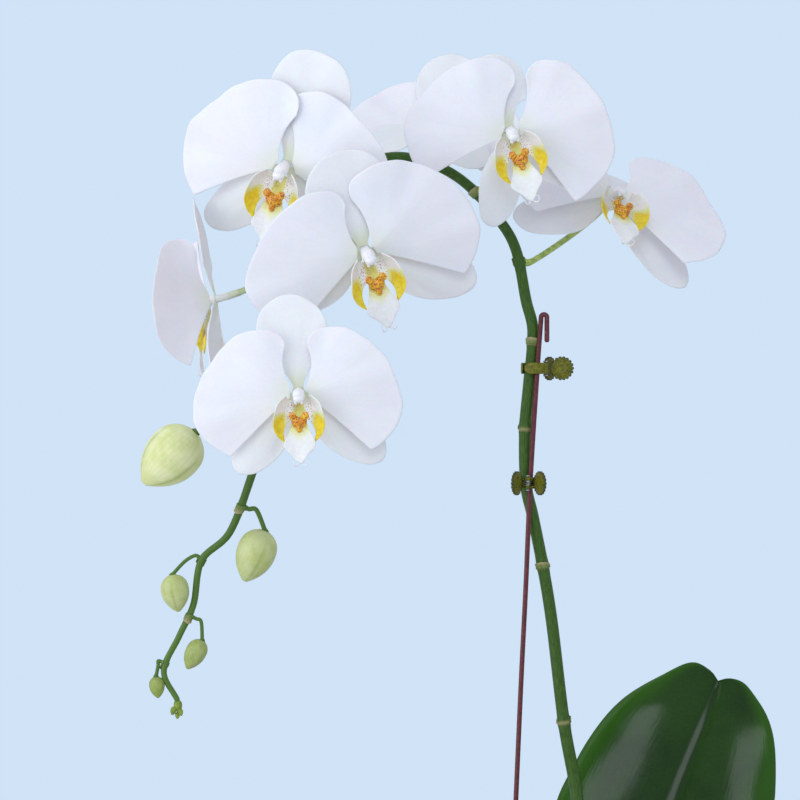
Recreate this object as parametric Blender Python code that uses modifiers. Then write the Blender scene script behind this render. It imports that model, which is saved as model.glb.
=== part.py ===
"""Potted moth orchid: pot, bark, crown, leaves, roots, one flower spike on a hooked wire stake with two
spring claw clips, seven open flowers and the buds at the tip. Metres, +Z up, origin under the pot."""

from math import atan2, cos, pi, radians, sin, sqrt

import bmesh
import bpy
import numpy as np
from mathutils import Matrix, Vector

# ---- driving dimensions, in metres ----
FIT_GAP = 0.0003                 # between pieces that touch

POT_HEIGHT = 0.120
POT_TOP_RADIUS = 0.060
POT_BASE_RADIUS = 0.043
POT_WALL = 0.004
POT_FLOOR = 0.006
POT_RIM_HEIGHT = 0.014
POT_RIM_STEP = 0.003
POT_SIDES = 36
DRAIN_RADIUS = 0.004
DRAIN_CIRCLE = 0.022

BARK_BELOW_RIM = 0.012           # at the pot's wall
BARK_HEAP = 0.004                # how much higher the middle lies

CROWN_RADIUS = 0.012
CROWN_HEIGHT = 0.043
CROWN_BURIED = 0.016
CROWN_CENTRE = (0.012, 0.006)

LEAF_THICKNESS = 0.0022
PETAL_THICKNESS = 0.0008
SEPAL_THICKNESS = 0.0009
LIP_THICKNESS = 0.0009

SPIKE_BASE_RADIUS = 0.0033
STAKE_RADIUS = 0.00125
STAKE_BURIED = 0.066
PEDICEL_RADIUS = 0.0019

CLIP_WIDTH = 0.0056              # along the hinge
CLIP_WALL = 0.0012
CLIP_PAD_RADIUS = 0.0060
CLIP_PAD_TILT = 25.0             # degrees from the clip's middle plane
CLIP_CLEARANCE = 0.00045         # between the jaws and what they hold
PIN_RADIUS = 0.0005
KNUCKLE_RADIUS = 0.0017

BARK_TOP = POT_HEIGHT - BARK_BELOW_RIM + BARK_HEAP
BARK_EDGE = POT_HEIGHT - BARK_BELOW_RIM
RISE = BARK_TOP - 0.112          # the plant's points are set out for bark at 0.112 and move with it

for old in list(bpy.data.objects):
    bpy.data.objects.remove(old, do_unlink=True)

plant = bpy.data.collections.new("potted_orchid")
cutters = bpy.data.collections.new("cutters")
bpy.context.scene.collection.children.link(plant)
bpy.context.scene.collection.children.link(cutters)


# ---- shared tools ----
def material(name, colour, roughness, metallic=0.0):
    """A Principled material of one colour."""
    made = bpy.data.materials.new(name)
    made.use_nodes = True
    shader = made.node_tree.nodes["Principled BSDF"]
    shader.inputs["Base Color"].default_value = (*colour, 1.0)
    shader.inputs["Roughness"].default_value = roughness
    shader.inputs["Metallic"].default_value = metallic
    return made


def place(obj, made_of, parent=None, where=plant):
    """Links an object, gives it its material and its parent."""
    where.objects.link(obj)
    if made_of is not None:
        obj.data.materials.append(made_of)
    obj.parent = parent
    return obj


def smooth_path(points, pieces):
    """A smooth curve through the points, read at evenly spaced places."""
    known = np.array(points, float)
    ends = np.vstack([2 * known[0] - known[1], known, 2 * known[-1] - known[-2]])
    fine = []
    for i in range(1, len(ends) - 2):
        a, b, c, d = ends[i - 1 : i + 3]
        for t in np.linspace(0, 1, 24, endpoint=False):
            cubic = 2 * b + (c - a) * t
            cubic = cubic + (2 * a - 5 * b + 4 * c - d) * t * t
            cubic = cubic + (3 * b - a - 3 * c + d) * t**3
            fine.append(cubic / 2)
    fine.append(ends[-2])
    fine = np.array(fine)
    steps = np.linalg.norm(np.diff(fine, axis=0), axis=1)
    along = np.concatenate([[0], np.cumsum(steps)])
    wanted = np.linspace(0, along[-1], pieces + 1)
    return np.stack([np.interp(wanted, along, fine[:, k]) for k in range(fine.shape[1])], 1)


def sheet(name, grids, thickness, made_of, parent=None, closed_ring=False):
    """One closed body from grids of points that share their edges, thickened both ways.
    A closed ring also joins the first row of each grid to that of the next."""
    mesh = bmesh.new()
    rows = []
    for grid in grids:
        verts = [[mesh.verts.new(point) for point in line] for line in grid]
        rows.append(verts)
        for left, right in zip(verts[:-1], verts[1:]):
            for k in range(len(left) - 1):
                mesh.faces.new((left[k], left[k + 1], right[k + 1], right[k]))
    if closed_ring:
        for this, after in zip(rows, rows[1:] + rows[:1]):
            mesh.faces.new((this[-1][0], this[-1][1], after[0][1], after[0][0]))
    bmesh.ops.remove_doubles(mesh, verts=mesh.verts[:], dist=1e-6)
    bmesh.ops.recalc_face_normals(mesh, faces=mesh.faces[:])
    data = bpy.data.meshes.new(name)
    mesh.to_mesh(data)
    mesh.free()
    data.shade_smooth()
    obj = place(bpy.data.objects.new(name, data), made_of, parent)
    shell = obj.modifiers.new("thickness", "SOLIDIFY")
    shell.thickness = thickness
    shell.offset = 0
    return obj


def tube(name, points, radii, made_of, parent=None, roundness=2):
    """A round stem through the points, with its own radius at each."""
    line = bpy.data.curves.new(name, "CURVE")
    line.dimensions = "3D"
    line.bevel_depth = 1.0
    line.bevel_resolution = roundness
    line.use_fill_caps = True
    spline = line.splines.new("POLY")
    spline.points.add(len(points) - 1)
    for knot, point, radius in zip(spline.points, points, radii):
        knot.co = (*point, 1.0)
        knot.radius = radius
    spline.use_smooth = True
    return place(bpy.data.objects.new(name, line), made_of, parent)


def turned(name, profile, sides, made_of, parent=None, where=plant):
    """A turned solid from a profile that starts and ends on the axis."""
    mesh = bmesh.new()
    verts = [mesh.verts.new((radius, 0, height)) for radius, height in profile]
    for a, b in zip(verts, verts[1:]):
        mesh.edges.new((a, b))
    data = bpy.data.meshes.new(name)
    mesh.to_mesh(data)
    mesh.free()
    obj = place(bpy.data.objects.new(name, data), made_of, parent, where)
    spin = obj.modifiers.new("turn", "SCREW")
    spin.steps = sides
    spin.render_steps = sides
    spin.use_merge_vertices = True
    spin.merge_threshold = 0.00001
    spin.use_smooth_shade = True
    return obj


def cutter_rod(name, radius, low, high, sides=24):
    """A round cutter between two points."""
    low, high = Vector(low), Vector(high)
    mesh = bmesh.new()
    bmesh.ops.create_cone(
        mesh, cap_ends=True, segments=sides, radius1=radius, radius2=radius, depth=(high - low).length
    )
    data = bpy.data.meshes.new(name)
    mesh.to_mesh(data)
    mesh.free()
    rod = place(bpy.data.objects.new(name, data), None, None, cutters)
    rod.rotation_euler = (high - low).to_track_quat("Z", "Y").to_euler()
    rod.location = (low + high) / 2
    rod.hide_render = True
    rod.display_type = "WIRE"
    return rod


def combine(obj, tool, operation):
    """Cuts or joins with a Boolean."""
    step = obj.modifiers.new(tool.name, "BOOLEAN")
    step.operation = operation
    step.object = tool
    tool.hide_render = True
    tool.display_type = "WIRE"


# ---- pot: slip-cast and glazed, a straight taper with a rolled rim and drain holes ----
def pot_inner_radius(height):
    """The inside radius of the pot at a height."""
    share = (height - POT_FLOOR) / (POT_HEIGHT - POT_FLOOR)
    bottom = POT_BASE_RADIUS - POT_WALL
    return bottom + share * (POT_TOP_RADIUS - POT_WALL - bottom)


def make_pot():
    """The pot as one turned solid with three drain holes beside its middle."""
    round_over = POT_WALL / 2
    rim_bottom = POT_HEIGHT - POT_RIM_HEIGHT
    under_rim = POT_TOP_RADIUS - POT_RIM_STEP
    profile = [
        (0, POT_FLOOR),
        (pot_inner_radius(POT_FLOOR), POT_FLOOR),
        (pot_inner_radius(POT_HEIGHT - round_over), POT_HEIGHT - round_over),
        (POT_TOP_RADIUS - POT_WALL + round_over / 2, POT_HEIGHT),
        (POT_TOP_RADIUS - round_over / 2, POT_HEIGHT),
        (POT_TOP_RADIUS, POT_HEIGHT - round_over),
        (POT_TOP_RADIUS - 0.0004, rim_bottom + round_over),
        (under_rim, rim_bottom),
        (POT_BASE_RADIUS, round_over),
        (POT_BASE_RADIUS - round_over, 0),
        (0, 0),
    ]
    pot = turned("pot", profile, POT_SIDES, material("pot_glaze", (0.82, 0.82, 0.80), 0.2))
    for k in range(3):
        turn = 2 * pi * k / 3
        x = DRAIN_CIRCLE * cos(turn)
        y = DRAIN_CIRCLE * sin(turn)
        hole = cutter_rod(f"drain_{k + 1}", DRAIN_RADIUS, (x, y, -0.01), (x, y, POT_FLOOR + 0.01), 12)
        combine(pot, hole, "DIFFERENCE")


def make_bark(stake_line):
    """The settled bark, with the sockets that the crown and the stake stand in."""
    ground = POT_FLOOR + FIT_GAP
    reach = FIT_GAP * 1.5
    profile = [
        (0, BARK_TOP),
        (0.020, BARK_TOP - 0.0004),
        (0.040, BARK_TOP - BARK_HEAP * 0.6),
        (pot_inner_radius(BARK_EDGE) - reach, BARK_EDGE),
        (pot_inner_radius(ground) - reach, ground),
        (0, ground),
    ]
    bark = turned("bark_medium", profile, POT_SIDES, material("bark", (0.20, 0.11, 0.06), 0.85))
    x, y = CROWN_CENTRE
    bottom = BARK_TOP - CROWN_BURIED
    socket = cutter_rod(
        "crown_socket", CROWN_RADIUS + 2 * FIT_GAP, (x, y, bottom - FIT_GAP), (x, y, BARK_TOP + 0.02), 20
    )
    combine(bark, socket, "DIFFERENCE")
    foot, knee = Vector(stake_line[0]), Vector(stake_line[1])
    way = (knee - foot).normalized()
    low, high = foot - way * 2 * FIT_GAP, foot + way * (STAKE_BURIED + 0.02)
    hole = cutter_rod("stake_hole", STAKE_RADIUS + 2 * FIT_GAP, low, high, 12)
    combine(bark, hole, "DIFFERENCE")


def make_crown():
    """The short stem between the leaf bases."""
    profile = [
        (0, CROWN_HEIGHT),
        (CROWN_RADIUS * 0.5, CROWN_HEIGHT - 0.001),
        (CROWN_RADIUS * 0.85, CROWN_HEIGHT - 0.005),
        (CROWN_RADIUS, CROWN_HEIGHT - 0.011),
        (CROWN_RADIUS, 0.002),
        (CROWN_RADIUS - 0.002, 0),
        (0, 0),
    ]
    crown = turned("crown", profile, 20, material("crown_green", (0.16, 0.26, 0.06), 0.5))
    crown.location = (*CROWN_CENTRE, BARK_TOP - CROWN_BURIED)


# ---- leaves: a keeled blade along a midrib, clasping the crown ----
LEAVES = [
    # name, bearing and height at the crown, midrib points from there, half widths, keel, direction across
    (
        "leaf_1",
        (68, 0.128),
        [(0.032, 0.030, 0.165), (0.0475, 0.041, 0.208), (0.0590, 0.050, 0.236), (0.0700, 0.058, 0.260),
         (0.0790, 0.067, 0.2805)],
        [0.006, 0.026, 0.0525, 0.0530, 0.0400, 0.010],
        0.16,
        (1.0, -0.12, 0.0),
    ),
    (
        "leaf_2",
        (168, 0.129),
        [(-0.032, 0.024, 0.160), (-0.075, 0.040, 0.178), (-0.120, 0.056, 0.173),
         (-0.158, 0.070, 0.148)],
        [0.0065, 0.023, 0.035, 0.031, 0.003],
        0.22,
        (0.35, 0.94, 0.0),
    ),
    (
        "leaf_3",
        (-31, 0.127),
        [(0.055, -0.022, 0.158), (0.090, -0.046, 0.170), (0.122, -0.068, 0.155),
         (0.146, -0.085, 0.124)],
        [0.0065, 0.024, 0.036, 0.030, 0.003],
        0.22,
        (0.57, 0.82, 0.0),
    ),
    (
        "leaf_4",
        (218, 0.125),
        [(-0.022, -0.020, 0.146), (-0.050, -0.047, 0.155), (-0.078, -0.074, 0.143),
         (-0.098, -0.094, 0.118)],
        [0.0055, 0.0155, 0.028, 0.025, 0.003],
        0.22,
        (-0.71, 0.71, 0.0),
    ),
    (
        "leaf_5",
        (115, 0.1245),
        [(0.004, 0.050, 0.160), (0.000, 0.080, 0.192), (-0.008, 0.112, 0.188),
         (-0.014, 0.136, 0.162)],
        [0.0050, 0.012, 0.026, 0.023, 0.003],
        0.22,
        (0.97, 0.24, 0.0),
    ),
]
LEAF_LENGTHWISE = 9
LEAF_ACROSS = 4


def at_crown(bearing, height, apart):
    """A point that far from the crown's side, at a bearing and a height."""
    reach = CROWN_RADIUS + apart
    turn = radians(bearing)
    return (CROWN_CENTRE[0] + reach * cos(turn), CROWN_CENTRE[1] + reach * sin(turn), height + RISE)


def risen(points):
    """The points moved with the bark's top."""
    return [(x, y, z + RISE) for x, y, z in points]


def make_leaves():
    """Each leaf is a loft of shallow V sections along its midrib."""
    for name, (bearing, height), midrib, widths, keel, across in LEAVES:
        base = at_crown(bearing, height, LEAF_THICKNESS / 2 + keel * widths[0] / 2 + 2 * FIT_GAP)
        spine = smooth_path([base, *risen(midrib)], LEAF_LENGTHWISE)
        half = smooth_path([(k / (len(widths) - 1), w) for k, w in enumerate(widths)], 60)
        rows = []
        for i, centre in enumerate(spine):
            share = i / LEAF_LENGTHWISE
            width = np.interp(share, half[:, 0], half[:, 1])
            before = spine[max(i - 1, 0)]
            after = spine[min(i + 1, LEAF_LENGTHWISE)]
            forward = Vector(after - before).normalized()
            side = Vector(across)
            side = (side - forward * side.dot(forward)).normalized()
            up = side.cross(forward)
            if up.z < 0 or abs(up.z) < 0.3 and up.y > 0:
                up = -up
            row = []
            for k in range(LEAF_ACROSS + 1):
                v = 2 * k / LEAF_ACROSS - 1
                row.append(Vector(centre) + side * (width * v) + up * (keel * width * abs(v)))
            rows.append(row)
        sheet(name, [rows], LEAF_THICKNESS, material(name + "_green", (0.035, 0.13, 0.02), 0.3))


ROOTS = [
    # name, bearing at the crown, points inside the rim, then bearing, distance past it and height over it
    (
        "root_1",
        -50,
        [(0.027, -0.014, 0.1175), (0.0275, -0.028, 0.1215)],
        [(-60, -0.008, 0.007), (-65, 0.006, 0.0065), (-66.5, 0.015, -0.007), (-67, 0.017, -0.032),
         (-69, 0.013, -0.058)],
    ),
    (
        "root_2",
        48,
        [(0.0250, 0.0208, 0.1172), (0.030, 0.034, 0.122)],
        [(47.7, 0.001, 0.007), (47.6, 0.011, 0.0045), (46, 0.018, -0.014), (44, 0.018, -0.034),
         (43.3, 0.013, -0.052)],
    ),
]
ROOT_RADIUS = 0.0024


def over_rim(bearing, past, above):
    """A point past the pot's rim and above it."""
    reach = POT_TOP_RADIUS + past
    return (reach * cos(radians(bearing)), reach * sin(radians(bearing)), POT_HEIGHT + above)


def make_roots():
    """Two aerial roots from the crown over the pot's rim."""
    velamen = material("root_grey", (0.42, 0.46, 0.36), 0.8)
    for name, bearing, inside, outside in ROOTS:
        start = at_crown(bearing, 0.1158, 2 * FIT_GAP)
        line = smooth_path([start, *risen(inside), *[over_rim(*spot) for spot in outside]], 16)
        shrink = np.linspace(1.0, 0.75, len(line))
        shrink[-1] = 0.4
        tube(name, line, ROOT_RADIUS * shrink, velamen)


# ---- flower spike: one grown stem that rises, arches to the left and hangs ----
CROWN_FACE = CROWN_CENTRE[1] - CROWN_RADIUS - 2 * FIT_GAP       # where the spike comes out of the crown
SPIKE_POINTS = [
    (0.0120, CROWN_FACE, 0.1262), (0.0118, CROWN_FACE - 0.0045, 0.1272), (0.0085, CROWN_FACE - 0.0075, 0.142),
    (0.0015, -0.0080, 0.185), (0.001, 0, 0.225),
    (-0.0055, 0, 0.2635), (-0.0115, 0, 0.3135), (-0.016, 0, 0.3415), (-0.021, 0, 0.3665), (-0.0245, 0, 0.383),
    (-0.025, 0, 0.410), (-0.023, 0, 0.433), (-0.021, 0, 0.459), (-0.0245, 0, 0.475), (-0.0295, 0, 0.500),
    (-0.038, -0.002, 0.515), (-0.0525, -0.005, 0.531), (-0.0675, -0.010, 0.5405), (-0.0875, -0.015, 0.5455),
    (-0.107, -0.020, 0.541), (-0.1245, -0.025, 0.5285), (-0.1365, -0.030, 0.5085), (-0.1435, -0.040, 0.4835),
    (-0.146, -0.045, 0.459), (-0.148, -0.050, 0.4345), (-0.153, -0.050, 0.4105), (-0.1595, -0.046, 0.3885),
    (-0.1705, -0.040, 0.3605), (-0.1845, -0.037, 0.3465), (-0.1885, -0.035, 0.325), (-0.1955, -0.035, 0.3095),
    (-0.203, -0.035, 0.2925), (-0.1965, -0.035, 0.2785),
]
SPIKE_PIECES = 52
SPIKE_TAPER = [1.0, 0.97, 0.92, 0.90, 0.92, 0.80, 0.74, 0.70, 0.66, 0.52, 0.42]

fine_spike = smooth_path(risen(SPIKE_POINTS), 600)


def spike_at(share):
    """The spike's middle at a share of its length."""
    return Vector(fine_spike[int(round(share * 600))])


def spike_direction(share):
    """The way the spike grows there."""
    here = int(round(share * 600))
    ahead = Vector(fine_spike[min(here + 3, 600)]) - Vector(fine_spike[max(here - 3, 0)])
    return ahead.normalized()


def spike_radius(share):
    """The spike's radius at a share of its length."""
    places = np.linspace(0, 1, len(SPIKE_TAPER))
    return SPIKE_BASE_RADIUS * float(np.interp(share, places, SPIKE_TAPER))


def make_spike():
    """The stem as one tapering tube."""
    shares = [0, 0.005, *np.linspace(0, 1, SPIKE_PIECES + 1)[1:]]
    line = [spike_at(share) for share in shares]
    radii = [spike_radius(share) for share in shares]
    tube("flower_spike", line, radii, material("stem_green", (0.09, 0.21, 0.03), 0.45))


def spike_share_at(height):
    """The share of the spike's length at a height on its rising part."""
    rising = fine_spike[: 600 * 45 // 100]
    return float(np.interp(height + RISE, rising[:, 2], np.linspace(0, 0.45, len(rising))))


# ---- stake: steel wire with a hairpin hook, pushed into the bark ----
CLIP_HEIGHTS = {"clip_lower": 0.383, "clip_upper": 0.440}
STAKE_SIDES = {"clip_lower": (0.45, -0.893), "clip_upper": (0.74, -0.673)}   # where it lies beside the spike
STAKE_FOOT = (-0.0378, -0.0047, BARK_EDGE - STAKE_BURIED)
STAKE_MIDDLE = [(-0.0297, -0.0048, 0.2266), (-0.0272, -0.0050, 0.2834), (-0.0248, -0.0054, 0.3323)]
STAKE_TOP = (-0.0171, -0.0034, 0.4662)
HOOK_SPACING = 0.0029
HOOK_LEG = 0.0115


def stake_beside(clip):
    """The stake's middle where a clip holds it to the spike, and its distance from the spike's middle."""
    share = spike_share_at(CLIP_HEIGHTS[clip])
    apart = spike_radius(share) + STAKE_RADIUS + FIT_GAP
    x, y = STAKE_SIDES[clip]
    return spike_at(share) + Vector((x, y, 0)) * apart, apart


def stake_points():
    """The stake's way from its foot in the bark to the end of its hook."""
    lower = stake_beside("clip_lower")[0]
    upper = stake_beside("clip_upper")[0]
    x, y, z = risen([STAKE_TOP])[0]
    points = [STAKE_FOOT, *risen(STAKE_MIDDLE), tuple(lower), tuple(upper), (x, y, z)]
    bend = HOOK_SPACING / 2
    for k in range(1, 7):
        turn = pi * k / 6
        points.append((x + bend - bend * cos(turn), y, z + bend * sin(turn)))
    points.append((x + HOOK_SPACING, y, z - HOOK_LEG))
    return points


def make_stake():
    """The wire: straight to the hook, then round it."""
    points = stake_points()
    shaft = smooth_path(points[:7], 18)
    line = [tuple(p) for p in shaft] + points[7:]
    tube("stake", line, [STAKE_RADIUS] * len(line), material("stake_paint", (0.11, 0.035, 0.037), 0.45, 0.1))


# ---- clips: two toothed claw halves on a spring pin ----
def box(name, low, high, parent):
    """A block between two corners, as a part of a clip half."""
    low, high = Vector(low), Vector(high)
    mesh = bmesh.new()
    bmesh.ops.create_cube(mesh, size=1.0)
    for vert in mesh.verts:
        vert.co = Vector([low[k] + (vert.co[k] + 0.5) * (high[k] - low[k]) for k in range(3)])
    data = bpy.data.meshes.new(name)
    mesh.to_mesh(data)
    mesh.free()
    return place(bpy.data.objects.new(name, data), None, parent, cutters)


def clip_half(name, side, knuckle_spans, inner_radius, pivot, made_of):
    """One half on its side of the clip's middle plane. Its origin is on the hinge."""
    middle = inner_radius + CLIP_WALL / 2
    bar = KNUCKLE_RADIUS + 0.0014
    start = atan2(bar, sqrt(middle**2 - bar**2))
    centre_x = -(KNUCKLE_RADIUS + 0.0002 + inner_radius + CLIP_WALL)
    line = []
    for k in range(9):
        turn = radians(168) + (start - radians(168)) * k / 8
        line.append(Vector((centre_x + middle * cos(turn), middle * sin(turn), 0)))
    tilt = radians(CLIP_PAD_TILT)
    line.append(Vector((0, bar, 0)))
    line.append(Vector((cos(tilt), sin(tilt), 0)) * 0.004 + Vector((0, bar, 0)))
    half = CLIP_WIDTH / 2
    grid = []
    for point in line:
        grid.append([(point.x, side * point.y, -half), (point.x, side * point.y, half)])
    obj = sheet(name, [grid], CLIP_WALL, made_of, pivot)
    mesh = bmesh.new()
    bmesh.ops.create_cone(
        mesh, cap_ends=True, segments=20, radius1=CLIP_PAD_RADIUS, radius2=CLIP_PAD_RADIUS,
        depth=CLIP_WALL * 1.15
    )
    data = bpy.data.meshes.new(name + "_pad")
    mesh.to_mesh(data)
    mesh.free()
    pad = place(bpy.data.objects.new(name + "_pad", data), None, pivot, cutters)
    reach = CLIP_PAD_RADIUS + 0.0003
    pad.location = (reach * cos(tilt), side * (bar + reach * sin(tilt)), 0)
    pad.rotation_euler = (pi / 2, 0, side * tilt)
    combine(obj, pad, "UNION")
    for k, (low, high) in enumerate(knuckle_spans):
        knuckle = cutter_rod(f"{name}_knuckle_{k}", KNUCKLE_RADIUS, (0, 0, low), (0, 0, high), 12)
        knuckle.parent = pivot
        combine(obj, knuckle, "UNION")
        near, far = sorted((side * 0.0006, side * (bar + CLIP_WALL * 0.2)))
        trim = 0.00005
        web = box(f"{name}_web_{k}", (-0.0010, near, low + trim), (0.0010, far, high - trim), pivot)
        combine(obj, web, "UNION")
    bore = cutter_rod(f"{name}_bore", PIN_RADIUS + FIT_GAP, (0, 0, -0.01), (0, 0, 0.01), 12)
    bore.parent = pivot
    combine(obj, bore, "DIFFERENCE")
    return obj


def make_clip(name, yaw):
    """A clip round the spike and the stake, with its pin on the hinge."""
    share = spike_share_at(CLIP_HEIGHTS[name])
    spike_middle = spike_at(share)
    stake_middle, apart = stake_beside(name)
    thick = spike_radius(share)
    bundle_radius = (thick + STAKE_RADIUS + apart) / 2
    towards = (stake_middle - spike_middle).normalized()
    bundle = spike_middle + towards * (apart + STAKE_RADIUS - thick) / 2
    inner = bundle_radius + CLIP_CLEARANCE
    hinge = KNUCKLE_RADIUS + 0.0002 + inner + CLIP_WALL
    turn = radians(yaw)
    pivot = place(bpy.data.objects.new(name + "_pivot", None), None)
    pivot.location = bundle + Vector((cos(turn), sin(turn), 0)) * hinge
    pivot.rotation_euler = (0, 0, turn)
    olive = material(name + "_olive", (0.14, 0.15, 0.02), 0.4)
    half = CLIP_WIDTH / 2
    inside = CLIP_WIDTH * 0.17
    outside = inside + FIT_GAP
    clip_half(name + "_fixed_half", 1, [(outside, half), (-half, -outside)], inner, pivot, olive)
    clip_half(name + "_moving_half", -1, [(-inside, inside)], inner, pivot, olive)
    head = half + FIT_GAP
    profile = [
        (0, head + 0.0007),
        (0.0009, head + 0.0007),
        (0.0009, head),
        (PIN_RADIUS, head),
        (PIN_RADIUS, -head),
        (0.0009, -head),
        (0.0009, -head - 0.0007),
        (0, -head - 0.0007),
    ]
    turned(name + "_spring_pin", profile, 12, material(name + "_steel", (0.55, 0.55, 0.56), 0.3, 1.0), pivot)


# ---- flowers ----
# A flower's own frame: x to the right as it is looked at, y up, z out of its face. Outlines in millimetres.
PETAL_EDGE = [
    (4.6, 23), (5.6, 27.5), (9.5, 31), (16.5, 32.3), (24, 31.5), (31, 28.5), (38, 23.5), (44.5, 16),
    (50, 6.5), (53, -3), (52, -12), (48.5, -19), (43, -25), (36.5, -29.5),
]
DORSAL_EDGE = [
    (-14.5, 16), (-18.5, 24), (-19.5, 33), (-17, 42), (-11, 48), (-3, 50.8), (4, 50.6), (11, 47.5),
    (16.5, 41), (18.8, 33), (18, 24), (14.5, 16),
]
LATERAL_EDGE = [
    (15, -3), (27, -8), (36, -15), (43, -24), (45, -31), (42, -36.5), (35, -38), (26, -35.5), (17, -30.5),
    (10, -24), (5.5, -15),
]
# A fan: the two ends of its foot, the middle, reach and two bearings of the bow that its lines leave by.
PETAL_FAN = ((3.8, 3.0), (4.4, -2.2), (4.0, 0.0), 15.0, 72.0, -42.0)
DORSAL_FAN = ((-1.9, 1.9), (1.9, 1.9), (0.0, 2.0), 14.0, 118.0, 62.0)
LATERAL_FAN = ((2.6, 0.6), (0.8, -2.5), (1.5, -1.0), 12.0, -12.0, -72.0)
PETAL_FORWARD = {-1: 2.3, 1: 0.9}         # the left petal lies in front of the right one
SEPAL_BEHIND = -1.6
PETAL_DROOP = -2.5               # how far the rim lies behind the foot, at 50 mm from the middle
SEPAL_DROOP = -3.0

FLOWERS = {
    # joins: share of the spike. offset: from there to the middle, mm. faces: yaw right, pitch down, roll.
    # each piece: lift or turn in degrees, wide and tall, and how far it leans back in degrees
    "F": dict(joins=0.483, offset=(48.0, 20.0, 34.0), faces=(28, -27, -16), size=1.06,
              left=(10, 1.0, 0.95, 0), right=(-8, 1.08, 0.9, -14), dorsal=(0, 1.0, 0.9, 34),
              low_left=(10, 1.0, 0.9, 5), low_right=(5, 1.0, 1.0, 5)),
    "E": dict(joins=0.537, offset=(15.5, -40.5, 27.5), faces=(4, 6, 16), size=1.01,
              left=(30, 0.95, 1.05, 0), right=(-22, 0.97, 1.08, 0), dorsal=(0, 0.75, 0.75, 5),
              low_left=(-26, 0.85, 0.85, 5), low_right=(-8, 0.8, 0.85, 5)),
    "G": dict(joins=0.577, offset=(5.0, 57.5, 22.5), faces=(168, 40, 10), size=0.9,
              left=(0, 1.0, 1.0, 0), right=(0, 1.0, 1.0, 0), dorsal=(0, 1.0, 1.0, 5),
              low_left=(0, 1.0, 1.0, 5), low_right=(0, 1.0, 1.0, 5)),
    "B": dict(joins=0.642, offset=(16.5, -46.0, -36.0), faces=(14, 14, 17), size=1.05,
              left=(3, 1.06, 1.0, 0), right=(12, 1.03, 1.1, 0), dorsal=(0, 1.05, 0.92, 2),
              low_left=(12, 0.9, 0.8, 5), low_right=(8, 1.05, 1.1, 5)),
    "A": dict(joins=0.660, offset=(-13.0, -29.0, 16.5), faces=(-16, 16, -15), size=1.08,
              left=(14, 0.9, 1.08, 0), right=(18, 0.9, 1.04, 0), dorsal=(-8, 1.0, 1.06, 2),
              low_left=(-8, 0.9, 0.95, 5), low_right=(-10, 0.9, 0.9, 5)),
    "D": dict(joins=0.732, offset=(-34.0, 8.0, 3.0), faces=(-92, 14, 3), size=1.0,
              left=(0, 1.0, 1.0, -14), right=(-4, 1.0, 1.0, -34), dorsal=(0, 1.0, 1.0, -2),
              low_left=(-16, 1.0, 1.0, -10), low_right=(-14, 1.0, 1.0, -12)),
    "C": dict(joins=0.755, offset=(11.5, -53.5, -24.5), faces=(0, 4, 2), size=0.95,
              left=(-3, 1.0, 1.0, 0), right=(-1, 0.97, 1.0, 0), dorsal=(4, 0.92, 0.96, 5),
              low_left=(-10, 0.9, 0.95, 5), low_right=(0, 0.97, 1.0, 5)),
}
PETAL_STEPS = (7, 4)
SEPAL_STEPS = (5, 4)


def fan(shape, edge, steps):
    """A flat blade: lines from its foot that bow out and end on its edge."""
    foot_a, foot_b, middle, reach, bearing_a, bearing_b = shape
    lines, rows = steps
    rim = smooth_path(edge, lines)
    grid = np.zeros((lines + 1, rows + 1, 2))
    for i in range(lines + 1):
        share = i / lines
        foot = np.array(foot_a) * (1 - share) + np.array(foot_b) * share
        bearing = radians(bearing_a + (bearing_b - bearing_a) * share)
        bow = np.array(middle) + reach * np.array([cos(bearing), sin(bearing)])
        for j in range(rows + 1):
            t = j / rows
            grid[i, j] = (1 - t) ** 2 * foot + 2 * t * (1 - t) * bow + t * t * rim[i]
    return grid


def turned_flat(grid, degrees, about):
    """The flat blade turned in its own plane."""
    c = cos(radians(degrees))
    s = sin(radians(degrees))
    x = grid[..., 0] - about[0]
    y = grid[..., 1] - about[1]
    return np.stack([about[0] + c * x - s * y, about[1] + s * x + c * y], -1)


def leaned(points, axis, degrees, about):
    """Points turned about a line through a point."""
    line = np.array(axis, float) / np.linalg.norm(axis)
    c = cos(radians(degrees))
    s = sin(radians(degrees))
    arm = points - np.array(about)
    along = (arm @ line)[..., None] * line
    return arm * c + np.cross(line, arm) * s + along * (1 - c) + np.array(about)


def raised(grid, start, droop):
    """The flat blade given its depth: a foot at one place and a rim that falls back."""
    far = np.hypot(grid[..., 0], grid[..., 1])
    depth = start + droop * (far / 50) ** 2
    return np.concatenate([grid, depth[..., None]], -1)


def petal_grid(side, pose):
    """One of the two broad petals."""
    lift, wide, tall, back = pose
    flat = fan(PETAL_FAN, np.array(PETAL_EDGE) * (wide, tall), PETAL_STEPS)
    flat = turned_flat(flat, lift, (4, 0)) * np.array([side, 1])
    start = PETAL_FORWARD[side]
    solid = raised(flat, start, PETAL_DROOP)
    return leaned(solid, (0, side, 0), back, (side * 4, 0, start))


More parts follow.
